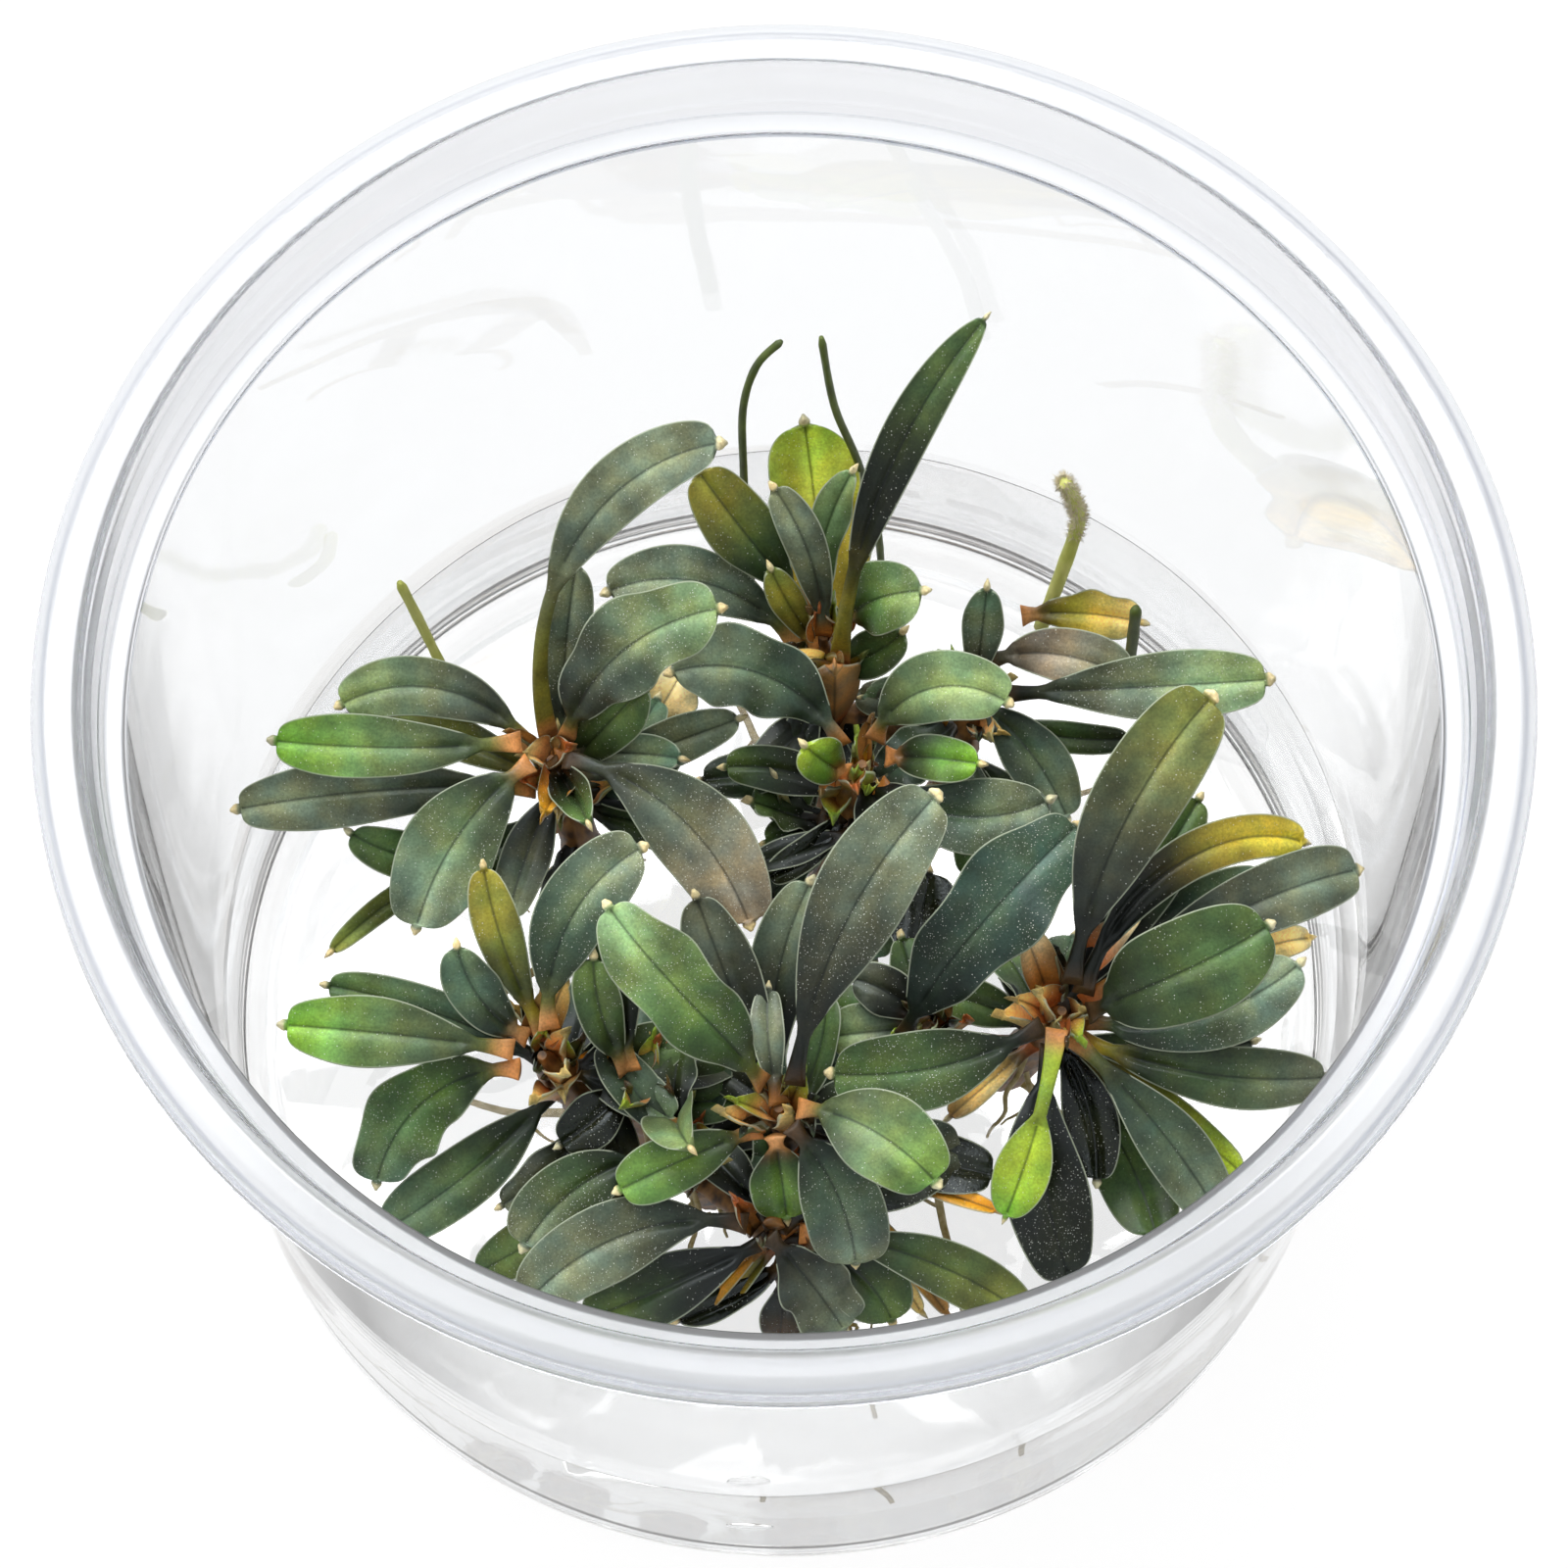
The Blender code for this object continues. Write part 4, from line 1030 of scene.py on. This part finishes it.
leaf_count = 0
for shoot_name, shoot in SHOOTS.items():
    for number, row in enumerate(shoot.leaves, 1):
        leaf = Leaf(*row)
        leaf_count += 1
        bm = leaf_bmesh()
        add_leaf(bm, leaf_start(shoot, leaf, LEAF_REACH), leaf, LEAF_BENDS, leaf_count * PHASE_STEP)
        close_ends(bm)
        new_piece(f"blade_{shoot_name}_{number}", bm, [waxy_leaf], [f"leaf_{shoot_name}_{number}"])
    bm = leaf_bmesh()
    for row in shoot.small_leaves:
        leaf = Leaf(*row)
        leaf_count += 1
        start = leaf_start(shoot, leaf, SMALL_LEAF_REACH)
        add_leaf(bm, start, leaf, SMALL_LEAF_BENDS, leaf_count * PHASE_STEP)
    close_ends(bm)
    new_piece(f"small_leaves_{shoot_name}", bm, [waxy_leaf], [shoot.stem])
print("leaves:", leaf_count)

# %% [markdown]
# ## Stems and sheaths
# A stem is a creeping rootstock, as thick as a matchstick, brown and ringed where old leaves
# dropped off. A stem is a sleeve round its axis, and where several shoots share one, thin bridges
# join them under the leaves.

# %% Skins
SKINS = {
    "brown_bark": ("#96672f", "#40280f", 0.9, 0.15),
    "green_skin": ("#5b6b2c", "#3c4a20", 1.2, 0.03),
    "yellow_skin": ("#e6e88c", "#c6cc62", 1.2, 0.02),
    "pale_root": ("#cfbf8e", "#9a8648", 0.7, 0.03),
    "tan_fuzz": ("#fff6da", "#e6d8ac", 0.5, 0.0),
}


def make_skin(name, colour, dark, grain, relief):
    """A dull skin with streaks along it and darker flecks."""
    material, tree, shader, _ = new_material(name)
    flecks = {"Vector": place_in_mm(tree, 0.4), "Scale": 1 / grain, "Detail": 4.0}
    flecks = add_node(tree, "TexNoise", inputs=flecks).outputs["Fac"]
    spread = {"Value": flecks, "From Min": 0.35, "From Max": 0.65}
    share = add_node(tree, "MapRange", inputs=spread).outputs["Result"]
    colours = {"Factor": share, "A": linear(dark), "B": linear(colour)}
    height = {"Height": flecks, "Strength": 0.6, "Distance": relief * MM}
    look = {
        "Base Color": add_node(tree, "Mix", {"data_type": "RGBA"}, colours).outputs["Result"],
        "Roughness": 0.5,
        "Normal": add_node(tree, "Bump", inputs=height).outputs["Normal"],
    }
    set_inputs(tree, shader, look)
    return material


skins = {name: make_skin(name, *values) for name, values in SKINS.items()}
print("skins:", len(skins))

# %% Stems
STEM_ROWS = 18
STEM_FOOT = 1.6
STEM_TOP = 1.3
STEM_COLUMNS = 14
STEM_START = 0.7
STEM_END = [1.1, 0.7, 0.3]
STEM_RINGS = 0.14
STEM_SWAY = 0.5
STEM_SHARP = 60
CROWN_DEPTH = 2.0
BRIDGE_ROWS = 8
BRIDGE_LEVEL = 23.0
BRIDGE_STEP = 2.5
BRIDGE_SWAY = 0.6
SEED = 11
# Without a seed of its own the noise that sways stems and roots is another one in each run.
noise.seed_set(SEED)


def add_tube(bm, path, radii, columns, rings=0.0):
    """A round sleeve along a list of points, with its radius given at each."""
    rows = len(path) - 1
    grid = bmesh.ops.create_grid(bm, x_segments=columns, y_segments=rows, size=0.5)
    for vert in grid["verts"]:
        column = round((vert.co.x + 0.5) * columns)
        row = round((vert.co.y + 0.5) * rows)
        ahead = path[min(row + 1, rows)] - path[max(row - 1, 0)]
        turn = ahead.to_track_quat("Z", "Y")
        angle = math.tau * (column % columns) / columns
        radius = radii[row] * (1.0 + rings * (row % 3 == 0))
        vert.co = path[row] + turn @ Vector((math.cos(angle), math.sin(angle), 0.0)) * radius
    bmesh.ops.remove_doubles(bm, verts=grid["verts"], dist=LEAF_MERGE)


def wander(start, end, rows, sway, seed):
    """Points from start to end that stray sideways as a growing stem or root does."""
    start, end = Vector(start), Vector(end)
    points = []
    for row in range(rows + 1):
        share = row / rows
        stray = noise.noise_vector(Vector((seed, share * 2.2, 0.0))) * sway * math.sin(math.pi * share)
        points.append(start.lerp(end, share) + stray)
    return points


def add_shoot_stem(bm, shoot, seed):
    path = wander(shoot.foot, stem_point(shoot, shoot.top[2] - CROWN_DEPTH), STEM_ROWS, STEM_SWAY, seed)
    radii = [STEM_FOOT + (STEM_TOP - STEM_FOOT) * row / STEM_ROWS for row in range(STEM_ROWS + 1)]
    radii[0] = STEM_START
    radii[-len(STEM_END) :] = STEM_END
    add_tube(bm, path, radii, STEM_COLUMNS, STEM_RINGS)


stems = {}
for shoot_name, shoot in SHOOTS.items():
    stems.setdefault(shoot.stem, []).append((shoot_name, shoot))
for stem_name, shoots in stems.items():
    bm = bmesh.new()
    for number, (shoot_name, shoot) in enumerate(shoots):
        add_shoot_stem(bm, shoot, len(shoot_name) + number * 3.1)
        if number:
            level = BRIDGE_LEVEL + BRIDGE_STEP * (number - 1)
            first, last = stem_point(shoots[0][1], level), stem_point(shoot, level + 1)
            bridge = wander(first, last, BRIDGE_ROWS, BRIDGE_SWAY, number)
            add_tube(bm, bridge, [STEM_TOP] * len(bridge), STEM_COLUMNS, STEM_RINGS)
    close_ends(bm)
    rootstock = stem_name.replace("stem", "rootstock")
    new_piece(rootstock, bm, [skins["brown_bark"]], [stem_name], STEM_SHARP)
print("stems:", len(stems))

# %% [markdown]
# At a stem's top the crown's leaf stalks stand in a ring of short papery sheaths, rust coloured at
# their foot and cream at their torn tips, among stubs of old stalks. Both are short, deeply cupped
# leaves, so the leaf's own function makes them. Small dark leaves fill the gaps below: they are
# partly the plant's own small leaves and partly painted shade, dark shapes put where the gaps between
# the crowns lie in shade. Chance places all of these, and one seed makes it the same chance each time.

# %% Sheaths, stubs and tiny leaves
SHEATHS = 7
STUBS = 6
TINY_LEAVES = 6
SCALE_ROWS = 14
SMALL_ROWS = 24
CLUMP_MIDDLE = (2.0, -2.0, 30.0)
SHEATH_TONES = [
    "peach ember straw", "rust peach straw", "ember rust lime",
    "ember peach lime", "bark rust ember",
]
STUB_TONES = [
    "ember rust bark", "umber moss umber", "rust ember umber",
    "rust amber moss", "ink umber ink",
]
# The tiny leaves' tones are all dark: they are partly the plant's own small leaves and partly painted
# shade in the gaps.
TINY_TONES = [
    "ink ink pine", "pine ink petrol", "ink petrol ink",
    "umber pine pine", "ink ink graphite",
]
random.seed(SEED)


def tiny_leaf(shoot):
    """A small dark leaf low in the crown, which fills the gap towards the clump's middle, partly as a leaf
    and partly as painted shade.
    """
    middle = Vector(CLUMP_MIDDLE) - Vector(shoot.top)
    heading = math.degrees(math.atan2(middle.y, middle.x)) + random.uniform(-75, 75)
    return Leaf(
        tones=random.choice(TINY_TONES),
        form=random.choice(["oval", "oblong", "wavy"]),
        around=heading + random.uniform(-30, 30),
        level=random.uniform(25.0, 31.0),
        heading=heading,
        rise=random.uniform(-12, 30),
        length=random.uniform(7.0, 10.5),
        width=random.uniform(3.0, 4.4),
        droop=random.uniform(-10, 50),
        sweep=random.uniform(-40, 40),
        roll=random.uniform(-25, 25),
    )


def loose_scale(shoot, form, tones, lengths, widths):
    """A papery sheath or a stub of an old leaf stalk, at a chance place round the crown."""
    around = random.uniform(0, 360)
    return Leaf(
        tones=random.choice(tones),
        form=form,
        around=around,
        level=shoot.top[2] - random.uniform(2.5, 8.0),
        heading=around + random.uniform(-40, 40),
        rise=random.uniform(52, 90),
        length=random.uniform(*lengths),
        width=random.uniform(*widths),
        droop=random.uniform(-10, 40),
        sweep=random.uniform(-40, 40),
        roll=random.uniform(-30, 30),
    )


for shoot_name, shoot in SHOOTS.items():
    bm = leaf_bmesh()
    for number in range(SHEATHS + STUBS):
        if number < SHEATHS:
            scale = loose_scale(shoot, "sheath", SHEATH_TONES, (2.6, 4.6), (2.4, 3.6))
        else:
            scale = loose_scale(shoot, "stub", STUB_TONES, (2.0, 4.5), (1.0, 2.0))
        start = leaf_start(shoot, scale, random.uniform(0.6, 2.0))
        add_leaf(bm, start, scale, SMALL_LEAF_BENDS, number, SCALE_ROWS)
    close_ends(bm)
    new_piece(f"sheaths_{shoot_name}", bm, [waxy_leaf], [shoot.stem])
    bm = leaf_bmesh()
    for number in range(TINY_LEAVES):
        leaf = tiny_leaf(shoot)
        start = leaf_start(shoot, leaf, SMALL_LEAF_REACH)
        add_leaf(bm, start, leaf, SMALL_LEAF_BENDS, number, SMALL_ROWS)
    close_ends(bm)
    new_piece(f"tiny_leaves_{shoot_name}", bm, [waxy_leaf], [shoot.stem])
print("sheaths:", SHEATHS * len(SHOOTS), "stubs:", STUBS * len(SHOOTS))

# %% [markdown]
# ## Scraps
# Between and below the crowns lie dead sheaths, a curled cream one, low wet leaves that have turned
# dark, and leaf stalks that show under the front leaves. Each is a leaf with a place of its own:
# its row gives its stem, where it starts, its tones and form, and then a leaf's numbers from its
# heading on.

# %% Scraps
SCRAPS = [
    ("stem_back_left", (-11.5, 13, 26), "gold straw cream", "wavy", 52, 22, 8.0, 4.6, 10, 10, 0),
    ("stem_back", (2.8, 16.2, 35.5), "gold straw cream", "stub", 200, 80, 8.0, 1.5, 170, 0, 0),
    ("stem_back", (3.7, 14.8, 28), "ember ember peach", "sheath", 275, 86, 10.5, 6.0, -6, 0, 0),
    ("stem_back", (0.2, 7.8, 26), "moss moss cream", "stub", 130, 78, 5.6, 1.2, 5, 0, 0),
    ("stem_back", (18.0, 25.4, 24), "olive gold straw", "wavy", 2, 12, 9.0, 3.6, 20, -14, -30),
    ("stem_right", (21.5, -8.2, 35), "ember ember cream", "sheath", 28, 50, 7.0, 3.6, 40, 20, 0),
    ("stem_right", (19.0, -9.5, 35), "ember rust cream", "sheath", 120, 62, 6.0, 4.0, 30, 0, 0),
    ("stem_left", (-17.5, -13.0, 34), "ember rust straw", "sheath", 60, 60, 5.5, 4.2, 20, 0, 0),
    ("stem_back", (2.0, 10.3, 29), "ink pine ink", "oval", 185, 5, 8.0, 3.8, 10, 0, 0),
    ("stem_back", (3.2, 7.2, 27.5), "ink ink pine", "oval", 200, -5, 4.8, 3.0, 10, 0, 0),
    ("stem_back", (5.4, 5.4, 29), "umber ink ink", "oblong", 197, 0, 8.0, 2.6, 10, 0, 0),
    ("stem_right", (9.5, -6.0, 28), "ink ink ink", "oval", 82, 4, 8.5, 5.2, 10, 0, 0, "wet"),
    ("stem_front", (-0.6, -25.5, 27.0), "bark amber bark", "lance", 211, -38, 9.4, 1.8, 4, 10, 0),
    ("stem_front", (-0.3, -25.8, 27.0), "bark olive amber", "lance", 222, -46, 9.0, 1.6, 6, -10, 0),
    ("stem_front", (0.0, -27.2, 25.0), "ink ink ink", "oval", 204, -40, 9.0, 2.8, -50, 0, 0, "wet"),
    ("stem_front", (0.0, -27.6, 24.0), "ink ink umber", "oblong", 264, -68, 7.3, 3.2, 0, 0, 0),
    ("stem_front", (1.0, -19.6, 29.0), "bark amber bark", "lance", 318, -10, 17.0, 1.8, 40, 0, 0),
    ("stem_front", (1.0, -19.8, 28.0), "bark amber straw", "lance", 312, -12, 15.5, 1.6, 42, 6, 0),
    ("stem_front", (1.2, -19.4, 29.0), "ember bark amber", "lance", 341, 0, 15.0, 1.7, 4, 0, 0),
    ("stem_front", (1.4, -18.9, 29.0), "ink ink ink", "oblong", 349, 4, 14.0, 5.0, 12, 0, 0, "wet"),
    ("stem_right", (18.5, -11.3, 29.0), "bark straw bark", "lance", 221, -4, 8.4, 2.2, 4, 0, 0),
    ("stem_back_left", (-16.0, 7.2, 34), "ember ember amber", "sheath", 250, 60, 6.0, 4.4, 40, 0, 0),
]
for stem_name in stems:
    bm = leaf_bmesh()
    for number, (stem, start, tones, form, *run) in enumerate(SCRAPS):
        if stem == stem_name:
            add_leaf(bm, start, Leaf(tones, form, 0, 0, *run), SMALL_LEAF_BENDS, number, SMALL_ROWS)
    close_ends(bm)
    new_piece(stem_name.replace("stem", "scraps"), bm, [waxy_leaf], [stem_name])
print("scraps:", len(SCRAPS))

# %% [markdown]
# ## Roots
# Roots leave the foot of each shoot and wander through the gel, pale and thin, with side roots.
# Some start higher up and hang between the crowns. A seeded random walk places them the same way
# each time.

# %% Roots
Root = namedtuple("Root", "heading dip length")
ROOTS = {
    "back_left": [Root(150, 12, 16), Root(215, 18, 18)],
    "back": [Root(60, 15, 14), Root(120, 10, 15)],
    "middle": [Root(250, 20, 12)],
    "back_right": [Root(20, 14, 16)],
    "left": [Root(165, 16, 17), Root(240, 12, 15)],
    "front_left": [Root(215, 14, 14)],
    "low_front": [Root(255, 14, 13), Root(290, 16, 15)],
    "right": [Root(330, 16, 15), Root(10, 12, 17)],
    "inner_right": [Root(285, 18, 20)],
}
HANGING_ENDS = {"middle": [(-2.2, 2.0, 20.0), (0.0, 1.2, 19.5), (2.2, 0.4, 19.5), (-0.8, -0.5, 20.5)]}
HANGING_LEVEL = 29.5
HANGING_ROOTS = 3
BRANCHES = 3
ROOT_ROWS = 14
ROOT_COLUMNS = 7
ROOT_SWAY = 1.6
ROOT_TAPER = 0.6
MAIN_RADIUS = 0.45
BRANCH_RADIUS = 0.18
HANGING_RADIUS = 0.28
THIN_HANGING_RADIUS = 0.24


def add_root(bm, start, end, radius, seed):
    path = wander(start, end, ROOT_ROWS, ROOT_SWAY, seed)
    radii = [radius * (1.0 - ROOT_TAPER * row / ROOT_ROWS) for row in range(ROOT_ROWS + 1)]
    add_tube(bm, path, radii, ROOT_COLUMNS)
    return path


for stem_name, shoots in stems.items():
    bm = bmesh.new()
    for shoot_name, shoot in shoots:
        foot = Vector(shoot.foot) + Vector((0.0, 0.0, 1.0))
        for number, root in enumerate(ROOTS.get(shoot_name, [])):
            angle = math.radians(root.heading)
            out = Vector((math.cos(angle), math.sin(angle), 0.0)) * root.length
            out.z = -math.sin(math.radians(root.dip)) * root.length
            path = add_root(bm, foot, foot + out, MAIN_RADIUS, number + len(shoot_name) * 1.7)
            for branch in range(BRANCHES):
                source = path[4 + 3 * branch]
                side = Vector((random.uniform(-5, 5), random.uniform(-5, 5), random.uniform(-3, -0.5)))
                add_root(bm, source, source + side, BRANCH_RADIUS, branch + number * 2.3)
        for hanging in range(HANGING_ROOTS):
            angle = random.uniform(0, math.tau)
            out = Vector((math.cos(angle), math.sin(angle), 0.0))
            start = stem_point(shoot, random.uniform(22, 28)) + out
            end = start + out * random.uniform(2, 5)
            end.z = gel_level(end.x, end.y) - random.uniform(1, 4)
            add_root(bm, start, end, HANGING_RADIUS, hanging + angle)
        for end in HANGING_ENDS.get(shoot_name, []):
            add_root(bm, stem_point(shoot, HANGING_LEVEL), end, THIN_HANGING_RADIUS, end[0])
    close_ends(bm)
    new_piece(stem_name.replace("stem", "roots"), bm, [skins["pale_root"]], [stem_name])
print("main roots:", sum(len(rows) for rows in ROOTS.values()))

# %% [markdown]
# ## Loose stalks
# Two thin green sprouts lean together at the back, a thick root covered in fine hairs stands on the
# right beside a cut stalk, and a yellow-green root tip shows on the left. Each is a tube along a
# few points that a smooth curve joins.

# %% Loose stalks
Stalk = namedtuple("Stalk", "skin slot radius points")
STALKS = {
    "sprout_left": Stalk(
        "green_skin",
        "sprout",
        0.3,
        [(-2.5, 30, 19.5), (-2.8, 29.5, 30), (-3, 30, 40), (-3, 31, 48), (-2, 32, 53), (-0.2, 32.5, 56)],
    ),
    "sprout_right": Stalk(
        "green_skin",
        "sprout",
        0.3,
        [(7.5, 30, 19.5), (7, 31, 28), (5.5, 32, 37), (3.7, 32.2, 46), (2.7, 32.8, 56)],
    ),
    "aerial_root": Stalk(
        "yellow_skin",
        "root",
        0.55,
        [(19.5, 26, 20.5), (21, 27.8, 27), (22, 29, 33), (21.5, 29.2, 36.5), (20.7, 29.5, 39)],
    ),
    "cut_stalk": Stalk("green_skin", "sprout", 0.45, [(26, 21.7, 21), (26.2, 22.3, 26), (26.3, 22.8, 31)]),
    "root_tip": Stalk(
        "yellow_skin",
        "root",
        0.4,
        [(-26.2, 24.8, 16.3), (-27.6, 26.3, 20.5), (-29, 27.2, 26)],
    ),
}
STALK_STEPS = 6
STALK_COLUMNS = 12
STALK_UNEVEN = 0.12
STALK_END = 0.6


def smooth_path(points, steps):
    """Points on a smooth curve through the given ones."""
    points = [Vector(point) for point in points]
    path = []
    for number in range(len(points) - 1):
        before, first = points[max(number - 1, 0)], points[number]
        second, after = points[number + 1], points[min(number + 2, len(points) - 1)]
        for step in range(steps):
            t = step / steps
            path.append(
                first * (2 * t**3 - 3 * t**2 + 1)
                + second * (3 * t**2 - 2 * t**3)
                + (second - before) * 0.5 * (t**3 - 2 * t**2 + t)
                + (after - first) * 0.5 * (t**3 - t**2)
            )
    return path + [points[-1]]


stalk_paths = {}
for name, stalk in STALKS.items():
    path = smooth_path(stalk.points, STALK_STEPS)
    stalk_paths[name] = path
    bumps = [noise.noise(Vector((row * 0.5, 0, 0))) for row in range(len(path))]
    radii = [stalk.radius * (1.0 + STALK_UNEVEN * bump) for bump in bumps]
    radii[-1] *= STALK_END
    bm = bmesh.new()
    add_tube(bm, path, radii, STALK_COLUMNS)
    close_ends(bm)
    new_piece(name + "_skin", bm, [skins[stalk.skin]], [name])
print("loose stalks:", len(STALKS))

# %% [markdown]
# The hairs on the aerial root are fine cones that stick out all round it. Each has three sides, so
# that hundreds of them stay a light mesh.

# %% Root hairs
HAIRS = 1300
HAIR_LENGTH = 0.65
HAIR_RADIUS = 0.06
HAIR_SINK = 0.35
BARE_SHARE = 0.42
fuzz_root = stalk_paths["aerial_root"]
bm = bmesh.new()
for number in range(HAIRS):
    share = BARE_SHARE + (1.0 - BARE_SHARE) * random.random()
    point = along_path(fuzz_root, share)
    out = Vector((random.gauss(0, 1), random.gauss(0, 1), random.gauss(0, 0.5))).normalized()
    length = HAIR_LENGTH * random.uniform(0.6, 1.2)
    turn = out.to_track_quat("Z", "Y").to_matrix().to_4x4()
    place = Matrix.Translation(point + out * (HAIR_SINK + length / 2)) @ turn
    bmesh.ops.create_cone(
        bm, segments=3, radius1=HAIR_RADIUS, radius2=0.0, depth=length, matrix=place, cap_ends=True
    )
new_piece("root_hairs", bm, [skins["tan_fuzz"]], ["aerial_root"])
print("hairs:", HAIRS)

# %% [markdown]
# ## Old leaf
# A shrivelled yellow-brown leaf lies behind the right crown. It is made as the others are.

# %% Old leaf
OLD_LEAF_START = (18, 23.6, 21.2)
OLD_LEAF = Leaf("gold gold straw", "wavy", 0, 0, 352, 8, 7, 3.0, 16, -12, 0)
OLD_LEAF_PHASE = 0.4
bm = leaf_bmesh()
add_leaf(bm, OLD_LEAF_START, OLD_LEAF, LEAF_BENDS, OLD_LEAF_PHASE)
close_ends(bm)
new_piece("old_leaf_skin", bm, [waxy_leaf], ["old_leaf"])
print("old leaf in mm:", OLD_LEAF.length, "by", OLD_LEAF.width)
